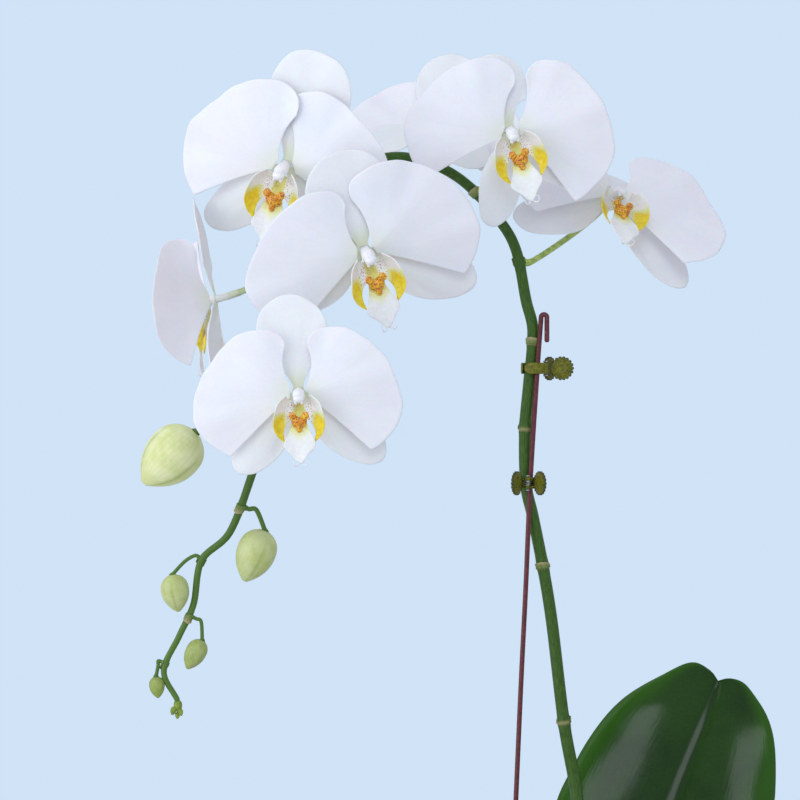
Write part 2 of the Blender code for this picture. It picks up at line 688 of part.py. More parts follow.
def sepal_grids(pose):
    """The three sepals in order round the ring that they share."""
    turn, wide, tall, back = pose["dorsal"]
    dorsal = turned_flat(fan(DORSAL_FAN, np.array(DORSAL_EDGE) * (wide, tall), SEPAL_STEPS), turn, (0, 0))
    grids = [leaned(raised(dorsal, SEPAL_BEHIND, SEPAL_DROOP), (-1, 0, 0), back, (0, 2, SEPAL_BEHIND))]
    for side, key in ((1, "low_right"), (-1, "low_left")):
        turn, wide, tall, back = pose[key]
        flat = fan(LATERAL_FAN, np.array(LATERAL_EDGE) * (wide, tall), SEPAL_STEPS)
        flat = turned_flat(flat, turn, (1.5, -1)) * np.array([side, 1])
        solid = raised(flat, SEPAL_BEHIND, SEPAL_DROOP)
        solid = leaned(solid, (0.6, side * 0.8, 0), back, (side * 1.5, -1, SEPAL_BEHIND))
        grids.append(solid if side > 0 else solid[::-1])
    return grids


LIP_FOOT = [(2.2, -4, 2.5), (2.6, -8, 4.5), (3.0, -12, 7)]
LIP_SIDE_BOW = [(7, -3, 4), (10.5, -9, 5.5), (10, -16, 8)]
LIP_SIDE_EDGE = [(5, -0.5, 9), (9.5, -4, 13), (12, -10, 14.5), (13, -16, 13.5), (11, -21, 12), (7, -24.5, 11)]
LIP_TONGUE_BOW = [(-5, -19, 11), (5, -19, 11)]
LIP_TONGUE_EDGE = [
    (-6.5, -21.5, 12), (-8, -25.5, 12.5), (-4, -30, 13), (0, -34.5, 12.5), (4, -30, 13), (8, -25.5, 12.5),
    (6.5, -21.5, 12),
]
LIP_LINES = 4
LIP_ROWS = 3


def bowed(foot, bow, edge, lines, rows):
    """Lines in space from a foot that bow out and end on an edge."""
    foot, bow, edge = (smooth_path(points, lines) for points in (foot, bow, edge))
    grid = np.zeros((lines + 1, rows + 1, 3))
    for j in range(rows + 1):
        t = j / rows
        grid[:, j] = (1 - t) ** 2 * foot + 2 * t * (1 - t) * bow + t * t * edge
    return grid


def lip_grids():
    """The lip's claw, its two raised side lobes and its tongue."""
    flip = np.array([-1, 1, 1])
    grids = []
    feet = {}
    for side in (1, -1):
        m = flip if side < 0 else np.array([1, 1, 1])
        foot, bow, edge = (
            [np.array(p) * m for p in points] for points in (LIP_FOOT, LIP_SIDE_BOW, LIP_SIDE_EDGE)
        )
        grids.append(bowed(foot, bow, edge, LIP_LINES, LIP_ROWS))
        feet[side] = smooth_path(foot, LIP_LINES)
    shares = np.linspace(0, 1, LIP_LINES + 1)
    claw = np.array([[a * (1 - t) + b * t for t in shares] for a, b in zip(feet[-1], feet[1])])
    grids.append(claw)
    tongue = bowed([claw[-1][0], claw[-1][-1]], LIP_TONGUE_BOW, LIP_TONGUE_EDGE, LIP_LINES, LIP_ROWS)
    grids.append(tongue)
    return grids


COLUMN = [
    # height forward, place up, radius, mm: from the anther cap back to the ovary
    (9.6, -3.0, 1.9), (8.2, -2.2, 3.1), (5.0, -0.6, 2.7), (1.8, 0.0, 2.0), (-2.0, 0.0, 1.6), (-7.0, 0.0, 1.7),
    (-12.0, 0.4, 1.7),
]


def make_flower(letter, pose):
    """A flower's pieces, parented to an empty at its middle."""
    joint = spike_at(pose["joins"])
    yaw, pitch, roll = (radians(angle) for angle in pose["faces"])
    upright = Matrix(((1, 0, 0), (0, 0, -1), (0, 1, 0)))
    turn = Matrix.Rotation(yaw, 3, "Z") @ Matrix.Rotation(pitch, 3, "X") @ upright
    turn = turn @ Matrix.Rotation(roll, 3, "Z")
    middle = bpy.data.objects.new("middle_of_flower_" + letter, None)
    plant.objects.link(middle)
    middle.location = joint + Vector(pose["offset"]) * 0.001
    middle.rotation_euler = turn.to_euler()
    unit = pose["size"] * 0.001
    name = "flower_" + letter
    white = (0.84, 0.85, 0.88)
    sheet(name + "_calyx", [g * unit for g in sepal_grids(pose)], SEPAL_THICKNESS,
          material(name + "_sepal", white, 0.5), middle, closed_ring=True)
    for side, word in ((-1, "left"), (1, "right")):
        sheet(f"{name}_petal_{word}", [petal_grid(side, pose[word]) * unit], PETAL_THICKNESS,
              material(f"{name}_petal_{word}_white", white, 0.5), middle)
    sheet(name + "_lip", [g * unit for g in lip_grids()], LIP_THICKNESS,
          material(name + "_lip_yellow", (0.85, 0.70, 0.35), 0.45), middle)

    to_world = Matrix.Translation(middle.location) @ turn.to_4x4()
    back = to_world @ Vector((0, COLUMN[-1][1] * unit, COLUMN[-1][0] * unit))
    growing = spike_direction(pose["joins"])
    out = back - joint
    out = (out - growing * out.dot(growing)).normalized()
    start = joint + out * (spike_radius(pose["joins"]) + FIT_GAP * 2)
    near = start + out * 0.0065
    behind = to_world @ Vector((0, COLUMN[-1][1] * unit, COLUMN[-1][0] * unit - 0.009))
    world = [back, behind, near, start]
    if (near - behind).length > 0.012:
        world.insert(2, (behind + near) / 2 + out * 0.002)
    stem = smooth_path([to_world.inverted() @ p for p in world], 8)
    column = [Vector((0, up * unit, forward * unit)) for forward, up, _ in COLUMN]
    radii = [radius * unit for _, _, radius in COLUMN]
    line = column + [Vector(p) for p in stem[1:]]
    radii = radii + [PEDICEL_RADIUS] * (len(stem) - 1)
    tube(name + "_column", line, radii, material(name + "_column_white", (0.80, 0.82, 0.76), 0.5), middle)


# ---- buds: a closed flower on its pedicel, one piece; offsets in mm from where it joins the spike ----
BUDS = {
    # joins, pedicel points, neck and tip of the bud, greatest radius (mm)
    "bud_1": dict(joins=0.803, stem=[(-13, 1, 1)], neck=(-35, 0, -7), tip=(-60, 0, -31.5), radius=13.6),
    "bud_2": dict(joins=0.862, stem=[(7.5, 0, -2)], neck=(11.5, 1, -12), tip=(1.5, 1, -36.5), radius=9.6),
    "bud_3": dict(joins=0.905, stem=[(-8.5, 0, -1)], neck=(-14.5, 0, -7.5), tip=(-11.5, 0, -25.5),
                  radius=6.9),
    "bud_4": dict(joins=0.942, stem=[(5.8, 0, -3)], neck=(6.3, 0, -12), tip=(-1, 0, -26), radius=5.2),
    "bud_5": dict(joins=0.975, stem=[(-3.6, 0, -1.2)], neck=(-4.6, 0, -6.5), tip=(-3.6, 0, -17),
                  radius=3.8),
    "tip_buds": dict(joins=1.0, stem=[], neck=(0.8, 0, -1.4), tip=(-0.6, 0, -9.5), radius=3.4),
}
BUD_FORM = [
    (0.0, 0.26), (0.07, 0.62), (0.2, 0.90), (0.38, 1.0), (0.58, 0.94), (0.76, 0.72), (0.9, 0.42), (1.0, 0.12),
]


def make_buds():
    """Each bud and its pedicel as one tapering tube."""
    for name, bud in BUDS.items():
        joint = spike_at(bud["joins"])
        thick = spike_radius(bud["joins"])
        neck, tip = Vector(bud["neck"]) * 0.001, Vector(bud["tip"]) * 0.001
        green = material(name + "_green", (0.52, 0.62, 0.28), 0.5)
        line, radii = [], []
        width = bud["radius"] * 0.001
        if bud["stem"]:
            first = Vector(bud["stem"][0]) * 0.001
            growing = spike_direction(bud["joins"])
            out = (first - growing * first.dot(growing)).normalized()
            start = out * (thick + FIT_GAP * 1.5)
            way = [start, start + out * 0.002, *[Vector(p) * 0.001 for p in bud["stem"]], neck]
            stem = smooth_path(way, 6)
            stalk = max(width * 0.12, 0.0009)
            line = [Vector(p) for p in stem[:-1]]
            radii = [stalk] * len(line)
        for share, form in BUD_FORM:
            line.append(neck.lerp(tip, share))
            radii.append(width * form)
        tube(name, [joint + p for p in line], radii, green, roundness=3)


make_pot()
make_bark(stake_points())
make_crown()
make_leaves()
make_roots()
make_spike()
make_stake()
make_clip("clip_lower", -90)
make_clip("clip_upper", 30)
for letter, pose in FLOWERS.items():
    make_flower(letter, pose)
make_buds()
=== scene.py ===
from math import atan2, cos, pi, radians, sin, sqrt

import bmesh
import bpy
import numpy as np
from mathutils import Matrix, Vector, noise


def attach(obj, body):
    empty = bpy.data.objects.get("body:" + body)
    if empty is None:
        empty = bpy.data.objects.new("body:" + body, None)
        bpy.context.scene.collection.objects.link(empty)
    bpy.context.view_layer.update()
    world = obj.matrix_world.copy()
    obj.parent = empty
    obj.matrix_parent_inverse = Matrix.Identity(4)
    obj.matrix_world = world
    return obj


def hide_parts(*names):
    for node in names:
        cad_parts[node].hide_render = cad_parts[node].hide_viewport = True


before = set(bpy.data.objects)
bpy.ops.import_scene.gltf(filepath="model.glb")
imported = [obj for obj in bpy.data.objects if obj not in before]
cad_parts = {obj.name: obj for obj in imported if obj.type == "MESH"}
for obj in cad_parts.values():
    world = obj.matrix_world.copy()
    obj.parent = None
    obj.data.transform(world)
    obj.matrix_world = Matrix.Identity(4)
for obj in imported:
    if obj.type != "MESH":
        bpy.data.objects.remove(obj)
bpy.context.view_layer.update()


# ---- Pot ----
# A plain slip-cast stoneware pot with a rolled rim and three drain holes, covered in a milky glaze
# that breaks thin on the rim. The foot ring is left bare where it stood in the kiln.
def node(tree, kind, inputs=None, **settings):
    """A shader or geometry node with its settings, its constant values and its links."""
    made = tree.nodes.new(kind)
    for key, value in settings.items():
        setattr(made, key, value)
    for key, value in (inputs or {}).items():
        if isinstance(value, bpy.types.NodeSocket):
            tree.links.new(value, made.inputs[key])
        else:
            made.inputs[key].default_value = value
    return made


def colour(red, green, blue):
    """A linear colour from the 0 to 255 shades that a colour card gives."""
    shades = [shade / 255 for shade in (red, green, blue)]
    return (*[s / 12.92 if s <= 0.04045 else ((s + 0.055) / 1.055) ** 2.4 for s in shades], 1.0)


def finish(name, base, rough, **constants):
    """A material with one Principled shader; base and rough are the fixed values or set later by links."""
    made = bpy.data.materials.new(name)
    made.use_nodes = True
    tree = made.node_tree
    shader = tree.nodes["Principled BSDF"]
    shader.inputs["Base Color"].default_value = base
    shader.inputs["Roughness"].default_value = rough
    for key, value in constants.items():
        shader.inputs[key.replace("_", " ")].default_value = value
    return made, tree, shader


def blended(tree, share, low, high):
    """A mix of two colours by a share."""
    made = node(tree, "ShaderNodeMix", data_type="RGBA")
    for socket, value in ((made.inputs[0], share), (made.inputs[6], low), (made.inputs[7], high)):
        if isinstance(value, bpy.types.NodeSocket):
            tree.links.new(value, socket)
        else:
            socket.default_value = value
    return made.outputs[2]


def spread(tree, value, low, high, to_low=0.0, to_high=1.0):
    """A value read between two ends, eased."""
    made = node(tree, "ShaderNodeMapRange", {"Value": value, "From Min": low, "From Max": high,
                                             "To Min": to_low, "To Max": to_high},
                interpolation_type="SMOOTHSTEP")
    return made.outputs["Result"]


def sums(tree, operation, first, second):
    """Plain arithmetic on two values."""
    made = node(tree, "ShaderNodeMath", {0: first, 1: second}, operation=operation)
    return made.outputs[0]


def times(tree, first, second):
    """The product of two values."""
    return sums(tree, "MULTIPLY", first, second)


def own_place(tree):
    """Where on the piece a point lies, in metres."""
    return node(tree, "ShaderNodeTexCoord").outputs["Object"]


def effect(name, inputs, outputs):
    """An empty shader group with named inputs and outputs."""
    group = bpy.data.node_groups.new(name, "ShaderNodeTree")
    for label, kind, value in inputs:
        socket = group.interface.new_socket(label, in_out="INPUT", socket_type=kind)
        if value is not None:
            socket.default_value = value
    for label, kind in outputs:
        group.interface.new_socket(label, in_out="OUTPUT", socket_type=kind)
    return group, node(group, "NodeGroupInput").outputs, node(group, "NodeGroupOutput").inputs


def use(tree, group, inputs):
    """The outputs of a group placed in a material with its own values."""
    made = tree.nodes.new("ShaderNodeGroup")
    made.node_tree = group
    for key, value in inputs.items():
        if isinstance(value, bpy.types.NodeSocket):
            tree.links.new(value, made.inputs[key])
        else:
            made.inputs[key].default_value = value
    return made.outputs


mottling, given, out = effect(
    "mottling",
    [("Place", "NodeSocketVector", None), ("Scale", "NodeSocketFloat", 100.0),
     ("Detail", "NodeSocketFloat", 4.0), ("Dark", "NodeSocketColor", (0, 0, 0, 1)),
     ("Light", "NodeSocketColor", (1, 1, 1, 1)),
     ("Bump", "NodeSocketFloat", 0.1), ("Depth", "NodeSocketFloat", 0.0003)],
    [("Colour", "NodeSocketColor"), ("Mask", "NodeSocketFloat"), ("Normal", "NodeSocketVector")],
)
cloud = node(mottling, "ShaderNodeTexNoise", {"Vector": given["Place"], "Scale": given["Scale"],
                                              "Detail": given["Detail"], "Roughness": 0.6})
even = spread(mottling, cloud.outputs["Fac"], 0.32, 0.68)
mottling.links.new(blended(mottling, even, given["Dark"], given["Light"]), out["Colour"])
mottling.links.new(even, out["Mask"])
lift = node(mottling, "ShaderNodeBump", {"Strength": given["Bump"], "Distance": given["Depth"],
                                         "Height": cloud.outputs["Fac"]})
mottling.links.new(lift.outputs["Normal"], out["Normal"])

specks, given, out = effect(
    "specks",
    [("Place", "NodeSocketVector", None), ("Scale", "NodeSocketFloat", 500.0),
     ("Size", "NodeSocketFloat", 0.2)],
    [("Mask", "NodeSocketFloat")],
)
cells = node(specks, "ShaderNodeTexVoronoi", {"Vector": given["Place"], "Scale": given["Scale"]})
inside = sums(specks, "SUBTRACT", given["Size"], cells.outputs["Distance"])
specks.links.new(spread(specks, inside, 0.0, 0.1), out["Mask"])


def plain_mesh(name, points, faces, uvs=None, marks=None):
    """A mesh with its faces turned outwards, a UV for each corner and a value for each point."""
    made = bpy.data.meshes.new(name)
    made.from_pydata([tuple(p) for p in points], [], faces)
    if uvs is not None:
        layer = made.uv_layers.new(name="surface")
        layer.data.foreach_set("uv", np.array(uvs, np.float32).ravel())
    for key, values in (marks or {}).items():
        layer = made.attributes.new(key, "FLOAT", "POINT")
        layer.data.foreach_set("value", np.array(values, np.float32))
    mesh = bmesh.new()
    mesh.from_mesh(made)
    bmesh.ops.remove_doubles(mesh, verts=mesh.verts[:], dist=1e-7)
    bmesh.ops.recalc_face_normals(mesh, faces=mesh.faces[:])
    mesh.to_mesh(made)
    mesh.free()
    made.shade_smooth()
    return made


def ringed(name, rings, marks=None, long=None):
    """A closed skin over rings of points, with each end closed to its own middle."""
    rings = np.array(rings, float)
    count, around = rings.shape[:2]
    points = [*rings.reshape(-1, 3), rings[0].mean(0), rings[-1].mean(0)]
    reach = np.linalg.norm(np.diff(rings.mean(1), axis=0), axis=1)
    down = np.concatenate([[0], np.cumsum(reach)]) * 100 if long is None else long
    faces, uvs = [], []
    for i in range(count - 1):
        for k in range(around):
            after = (k + 1) % around
            faces.append((i * around + k, i * around + after, (i + 1) * around + after, (i + 1) * around + k))
            left, right = k / around, (k + 1) / around
            uvs += [(left, down[i]), (right, down[i]), (right, down[i + 1]), (left, down[i + 1])]
    for row, middle in ((0, count * around), (count - 1, count * around + 1)):
        for k in range(around):
            faces.append((row * around + k, row * around + (k + 1) % around, middle))
            uvs += [(k / around, down[row]), ((k + 1) / around, down[row]), ((k + 0.5) / around, down[row])]
    full = {}
    for key, values in (marks or {}).items():
        grid = np.array(values, float)
        if grid.ndim == 1:
            grid = np.repeat(grid[:, None], around, 1)
        full[key] = [*grid.ravel(), grid[0].mean(), grid[-1].mean()]
    return plain_mesh(name, points, faces, uvs, full)


def lathe(name, profile, around, wobble=None):
    """A turned skin from a profile of radius and height that starts and ends at the axis."""
    rings = []
    for radius, height in profile:
        ring = []
        for k in range(around):
            turn = 2 * pi * k / around
            r = max(radius, 1e-5)
            z = height if wobble is None else height + wobble(r * cos(turn), r * sin(turn), height)
            ring.append((r * cos(turn), r * sin(turn), z))
        rings.append(ring)
    return ringed(name, rings)


def rounded(corners, radius, steps=5):
    """The profile with each inner corner eased by an arc-like bend."""
    eased = [corners[0]]
    for before, corner, after in zip(corners, corners[1:], corners[2:]):
        before, corner, after = (np.array(p, float) for p in (before, corner, after))
        arm_in, arm_out = before - corner, after - corner
        cut = min(radius, np.linalg.norm(arm_in) * 0.45, np.linalg.norm(arm_out) * 0.45)
        start = corner + arm_in / np.linalg.norm(arm_in) * cut
        end = corner + arm_out / np.linalg.norm(arm_out) * cut
        for t in np.linspace(0, 1, steps):
            eased.append(tuple((1 - t) ** 2 * start + 2 * t * (1 - t) * corner + t * t * end))
    return eased + [corners[-1]]


def settled(obj):
    """The object with its modifiers worked into a plain mesh."""
    graph = bpy.context.evaluated_depsgraph_get()
    made = bpy.data.meshes.new_from_object(obj.evaluated_get(graph))
    obj.modifiers.clear()
    obj.data = made
    return obj


def bring(name, mesh):
    """A new object for a mesh that is already in its place."""
    obj = bpy.data.objects.new(name, mesh)
    bpy.context.scene.collection.objects.link(obj)
    return obj


def fit(obj, material, slot, body, *nodes):
    """The piece with its material, on its body, standing for its nodes."""
    obj.data.materials.clear()
    obj.data.materials.append(material)
    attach(obj, body)
    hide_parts(*nodes)
    return obj


pot_height, pot_top, pot_base, pot_wall, pot_floor = 0.120, 0.060, 0.043, 0.004, 0.006


def pot_inside(height):
    """The pot's inner radius at a height."""
    share = (height - pot_floor) / (pot_height - pot_floor)
    return pot_base - pot_wall + share * (pot_top - pot_base)


pot_profile = rounded(
    [(0, pot_floor), (pot_inside(pot_floor), pot_floor), (pot_inside(0.104), 0.104),
     (pot_inside(0.116), 0.1165), (pot_top - 0.0030, pot_height), (pot_top - 0.0002, 0.1185),
     (pot_top, 0.1145), (pot_top - 0.0006, 0.1075),
     (pot_top - 0.0032, 0.1055), (pot_top - 0.0042, 0.102), (pot_base + 0.0015, 0.0075), (pot_base, 0.0035),
     (pot_base - 0.0012, 0.0), (pot_base - 0.0045, 0.0), (pot_base - 0.0060, 0.0012), (0.012, 0.0012),
     (0, 0.0012)],
    0.0022,
)
pot_clay = [pot_profile[0]]
for a, b in zip(pot_profile, pot_profile[1:]):
    parts = max(1, int(np.hypot(b[0] - a[0], b[1] - a[1]) / 0.003))
    pot_clay += [tuple(np.array(a) + (np.array(b) - np.array(a)) * k / parts) for k in range(1, parts + 1)]
pot = bring("glazed_pot", lathe("glazed_pot", pot_clay, 120))
for k in range(3):
    drill = bmesh.new()
    bmesh.ops.create_cone(drill, cap_ends=True, segments=32, radius1=0.004, radius2=0.0046, depth=0.03)
    spot = Vector((0.022 * cos(2 * pi * k / 3), 0.022 * sin(2 * pi * k / 3), 0.003))
    bmesh.ops.translate(drill, verts=drill.verts[:], vec=spot)
    bit_mesh = bpy.data.meshes.new("drain_bit")
    drill.to_mesh(bit_mesh)
    drill.free()
    bit = bring("drain_bit", bit_mesh)
    hole = pot.modifiers.new("drain", "BOOLEAN")
    hole.object = bit
    hole.solver = "EXACT"
    settled(pot)
    bpy.data.objects.remove(bit, do_unlink=True)
glaze, tree, shader = finish("milky_glaze", colour(226, 225, 219), 0.18, Coat_Weight=0.6, Coat_Roughness=0.08)
place = own_place(tree)
height = node(tree, "ShaderNodeSeparateXYZ", {0: place}).outputs[2]
milk = use(tree, mottling, {"Place": place, "Scale": 38.0, "Dark": colour(214, 212, 204),
                            "Light": colour(234, 233, 228), "Bump": 0.12, "Depth": 0.0006})
iron = use(tree, specks, {"Place": place, "Scale": 330.0, "Size": 0.13})
glazed = blended(tree, times(tree, iron["Mask"], 0.55), milk["Colour"], colour(120, 98, 72))
rim = spread(tree, height, 0.1172, 0.1196)
glazed = blended(tree, times(tree, rim, 0.35), glazed, colour(196, 176, 146))
bare = spread(tree, height, 0.0042, 0.0026)
tree.links.new(blended(tree, bare, glazed, colour(190, 160, 126)), shader.inputs["Base Color"])
tree.links.new(spread(tree, bare, 0.0, 1.0, 0.18, 0.85), shader.inputs["Roughness"])
rings = node(tree, "ShaderNodeTexWave", {"Vector": place, "Scale": 90.0, "Distortion": 1.5, "Detail": 1.0},
             bands_direction="Z")
throw = node(tree, "ShaderNodeBump", {"Strength": 0.10, "Distance": 0.0005, "Height": rings.outputs["Fac"],
                                      "Normal": milk["Normal"]})
tree.links.new(throw.outputs["Normal"], shader.inputs["Normal"])
fit(pot, glaze, "pot_glaze", "plant", "pot")


# ---- Bark ----
# Coarse fir bark, the loose medium that orchids are potted in. The settled bulk fills the pot and the
# top layer is single chips, each split along its grain, lying as they were poured.
bark_edge, bark_top = 0.108, 0.112


def heap(x, y, z):
    """The uneven top of the poured bark."""
    if z < bark_edge - 0.001:
        return 0.0
    return 0.0012 * noise.noise(Vector((x, y, 0.0)) * 90)


heap_profile = [(0, bark_top - 0.0025)]
for radius in np.linspace(0.004, pot_inside(bark_edge) - 0.0006, 14):
    heap_profile.append((radius, bark_top - 0.0025 - 0.0035 * (radius / 0.054) ** 2))
heap_profile += [(pot_inside(0.06) - 0.0006, 0.06), (pot_inside(0.008) - 0.0006, 0.008),
                 (pot_inside(0.0065) - 0.002, 0.0065), (0, 0.0065)]
bulk = bring("bark_bulk", lathe("bark_bulk", heap_profile, 72, heap))

chips = bpy.data.node_groups.new("bark_chips", "GeometryNodeTree")
chips.interface.new_socket("Geometry", in_out="INPUT", socket_type="NodeSocketGeometry")
chip_inputs = {}
for label, kind, value in (
    ("Least Height", "NodeSocketFloat", 0.1045), ("Spacing", "NodeSocketFloat", 0.0052),
    ("Chip Length", "NodeSocketFloat", 0.0125), ("Chip Width", "NodeSocketFloat", 0.0078),
    ("Chip Thickness", "NodeSocketFloat", 0.0030), ("Seed", "NodeSocketInt", 4),
    ("Pot Inside", "NodeSocketFloat", pot_inside(bark_edge) - 0.0012),
):
    socket = chips.interface.new_socket(label, in_out="INPUT", socket_type=kind)
    chip_inputs[label] = (socket.identifier, value)
chips.interface.new_socket("Geometry", in_out="OUTPUT", socket_type="NodeSocketGeometry")
asked = node(chips, "NodeGroupInput").outputs
spot = node(chips, "GeometryNodeInputPosition").outputs[0]
spot_height = node(chips, "ShaderNodeSeparateXYZ", {0: spot}).outputs[2]
facing = node(chips, "GeometryNodeInputNormal").outputs[0]
faces_up = sums(chips, "GREATER_THAN", node(chips, "ShaderNodeSeparateXYZ", {0: facing}).outputs[2], 0.6)
upper_height = times(chips, spot_height, faces_up)
on_top = node(chips, "FunctionNodeCompare", {0: upper_height, 1: asked["Least Height"]},
              data_type="FLOAT", operation="GREATER_THAN").outputs[0]
poured = node(chips, "GeometryNodeDistributePointsOnFaces",
              {"Mesh": asked["Geometry"], "Selection": on_top, "Distance Min": asked["Spacing"],
               "Density Max": 60000.0, "Seed": asked["Seed"]}, distribute_method="POISSON")
size = node(chips, "ShaderNodeCombineXYZ", {0: asked["Chip Length"], 1: asked["Chip Width"],
                                            2: asked["Chip Thickness"]}).outputs[0]
chip = node(chips, "GeometryNodeMeshCube", {"Size": size, "Vertices X": 4, "Vertices Y": 3, "Vertices Z": 2})
lean = node(chips, "FunctionNodeRandomValue", {0: (-0.5, -0.5, 0.0), 1: (0.5, 0.5, 6.283),
                                               "Seed": asked["Seed"]}, data_type="FLOAT_VECTOR").outputs[0]
grow = node(chips, "FunctionNodeRandomValue", {0: (0.45, 0.5, 0.5), 1: (1.25, 1.2, 1.1), "Seed": 9},
            data_type="FLOAT_VECTOR").outputs[0]
laid = node(chips, "GeometryNodeInstanceOnPoints", {"Points": poured.outputs["Points"],
                                                    "Instance": chip.outputs["Mesh"], "Rotation": lean,
                                                    "Scale": grow}).outputs[0]
loose = node(chips, "GeometryNodeRealizeInstances", {0: laid}).outputs[0]
rough = node(chips, "ShaderNodeTexNoise", {"Vector": spot, "Scale": 260.0, "Detail": 2.0}).outputs["Color"]
split = node(chips, "ShaderNodeVectorMath", {0: rough, 1: (-0.5, -0.5, -0.5)}, operation="ADD").outputs[0]
split = node(chips, "ShaderNodeVectorMath", {0: split, "Scale": 0.0052}, operation="SCALE").outputs[0]
torn = node(chips, "GeometryNodeSetPosition", {"Geometry": loose, "Offset": split}).outputs[0]
sideways = node(chips, "ShaderNodeVectorMath", {0: spot, 1: (1.0, 1.0, 0.0)}, operation="MULTIPLY").outputs[0]
far_out = node(chips, "ShaderNodeVectorMath", {0: sideways}, operation="LENGTH").outputs["Value"]
squeeze = sums(chips, "MINIMUM", sums(chips, "DIVIDE", asked["Pot Inside"], far_out), 1.0)
squeeze = node(chips, "ShaderNodeCombineXYZ", {0: squeeze, 1: squeeze, 2: 1.0}).outputs[0]
squeezed = node(chips, "ShaderNodeVectorMath", {0: spot, 1: squeeze}, operation="MULTIPLY").outputs[0]
pressed = node(chips, "GeometryNodeSetPosition", {"Geometry": torn, "Position": squeezed}).outputs[0]
bark_skin, tree, shader = finish("fir_bark", colour(104, 66, 42), 0.85)
painted = node(chips, "GeometryNodeSetMaterial", {"Geometry": pressed, "Material": bark_skin}).outputs[0]
chips.links.new(painted, node(chips, "NodeGroupOutput").inputs[0])
layer = bring("bark_chips", bulk.data.copy())
pour = layer.modifiers.new("pour", "NODES")
pour.node_group = chips
for label, (identifier, value) in chip_inputs.items():
    pour[identifier] = value
settled(layer)
for face in layer.data.polygons:
    face.use_smooth = False
place = own_place(tree)
grain = use(tree, mottling, {"Place": place, "Scale": 240.0, "Detail": 6.0, "Dark": colour(60, 36, 24),
                             "Light": colour(140, 92, 58), "Bump": 0.8, "Depth": 0.0007})
patch = use(tree, mottling, {"Place": place, "Scale": 70.0, "Detail": 1.0, "Dark": colour(78, 48, 34),
                             "Light": colour(168, 122, 84), "Bump": 0.0, "Depth": 0.0})
tree.links.new(blended(tree, 0.45, grain["Colour"], patch["Colour"]), shader.inputs["Base Color"])
tree.links.new(spread(tree, grain["Mask"], 0.0, 1.0, 0.92, 0.72), shader.inputs["Roughness"])
tree.links.new(grain["Normal"], shader.inputs["Normal"])
fit(bulk, bark_skin, "bark", "plant", "bark_medium")
fit(layer, bark_skin, "bark", "plant", "bark_medium")


# ---- Leaves ----
# Thick strap leaves with a deep channel over the midrib and a notched tip, dark and glossy above, paler
# below. Their bases clasp the short crown in two ranks.
def smooth_line(points, pieces):
    """A smooth curve through the points, read at evenly spaced places."""
    known = np.array(points, float)
    ends = np.vstack([2 * known[0] - known[1], known, 2 * known[-1] - known[-2]])
    fine = []
    for i in range(1, len(ends) - 2):
        a, b, c, d = ends[i - 1 : i + 3]
        for t in np.linspace(0, 1, 24, endpoint=False):
            cubic = 2 * b + (c - a) * t + (2 * a - 5 * b + 4 * c - d) * t * t + (3 * b - a - 3 * c + d) * t**3
            fine.append(cubic / 2)
    fine.append(ends[-2])
    fine = np.array(fine)
    steps = np.linalg.norm(np.diff(fine, axis=0), axis=1)
    along = np.concatenate([[0], np.cumsum(steps)])
    wanted = np.linspace(0, along[-1], pieces + 1)
    return np.stack([np.interp(wanted, along, fine[:, k]) for k in range(fine.shape[1])], 1)


crown_middle, crown_radius = (0.012, 0.006), 0.012
leaf_forms = {
    # bearing and height at the crown, midrib from there, half widths before the tip closes, channel, across
    "leaf_1": ((68, 0.128), [(0.032, 0.030, 0.165), (0.0475, 0.041, 0.208), (0.0590, 0.050, 0.236),
                             (0.0700, 0.058, 0.260), (0.0790, 0.067, 0.2805)],
               [0.006, 0.026, 0.0525, 0.0535, 0.0530, 0.0525], 0.16, (1.0, -0.12, 0.0)),
    "leaf_2": ((168, 0.129), [(-0.032, 0.024, 0.160), (-0.075, 0.040, 0.178), (-0.120, 0.056, 0.173),
                              (-0.158, 0.070, 0.148)],
               [0.0065, 0.023, 0.035, 0.0345, 0.034], 0.22, (0.35, 0.94, 0.0)),
    "leaf_3": ((-31, 0.127), [(0.055, -0.022, 0.158), (0.090, -0.046, 0.170), (0.122, -0.068, 0.155),
                              (0.146, -0.085, 0.124)],
               [0.0065, 0.024, 0.036, 0.0355, 0.035], 0.22, (0.57, 0.82, 0.0)),
    "leaf_4": ((218, 0.125), [(-0.022, -0.020, 0.146), (-0.050, -0.047, 0.155), (-0.078, -0.074, 0.143),
                              (-0.098, -0.094, 0.118)],
               [0.0055, 0.0155, 0.028, 0.0275, 0.027], 0.22, (-0.71, 0.71, 0.0)),
    "leaf_5": ((115, 0.1245), [(0.004, 0.050, 0.160), (0.000, 0.080, 0.192), (-0.008, 0.112, 0.188),
                               (-0.014, 0.136, 0.162)],
               [0.0050, 0.012, 0.026, 0.0255, 0.025], 0.22, (0.97, 0.24, 0.0)),
}


def own_uv(tree):
    """How far round and along its skin a point lies."""
    return node(tree, "ShaderNodeUVMap", uv_map="surface").outputs[0]


def marked(tree, name):
    """A share from 0 to 1 that the mesh carries at each point."""
    return node(tree, "ShaderNodeAttribute", attribute_name=name).outputs["Fac"]


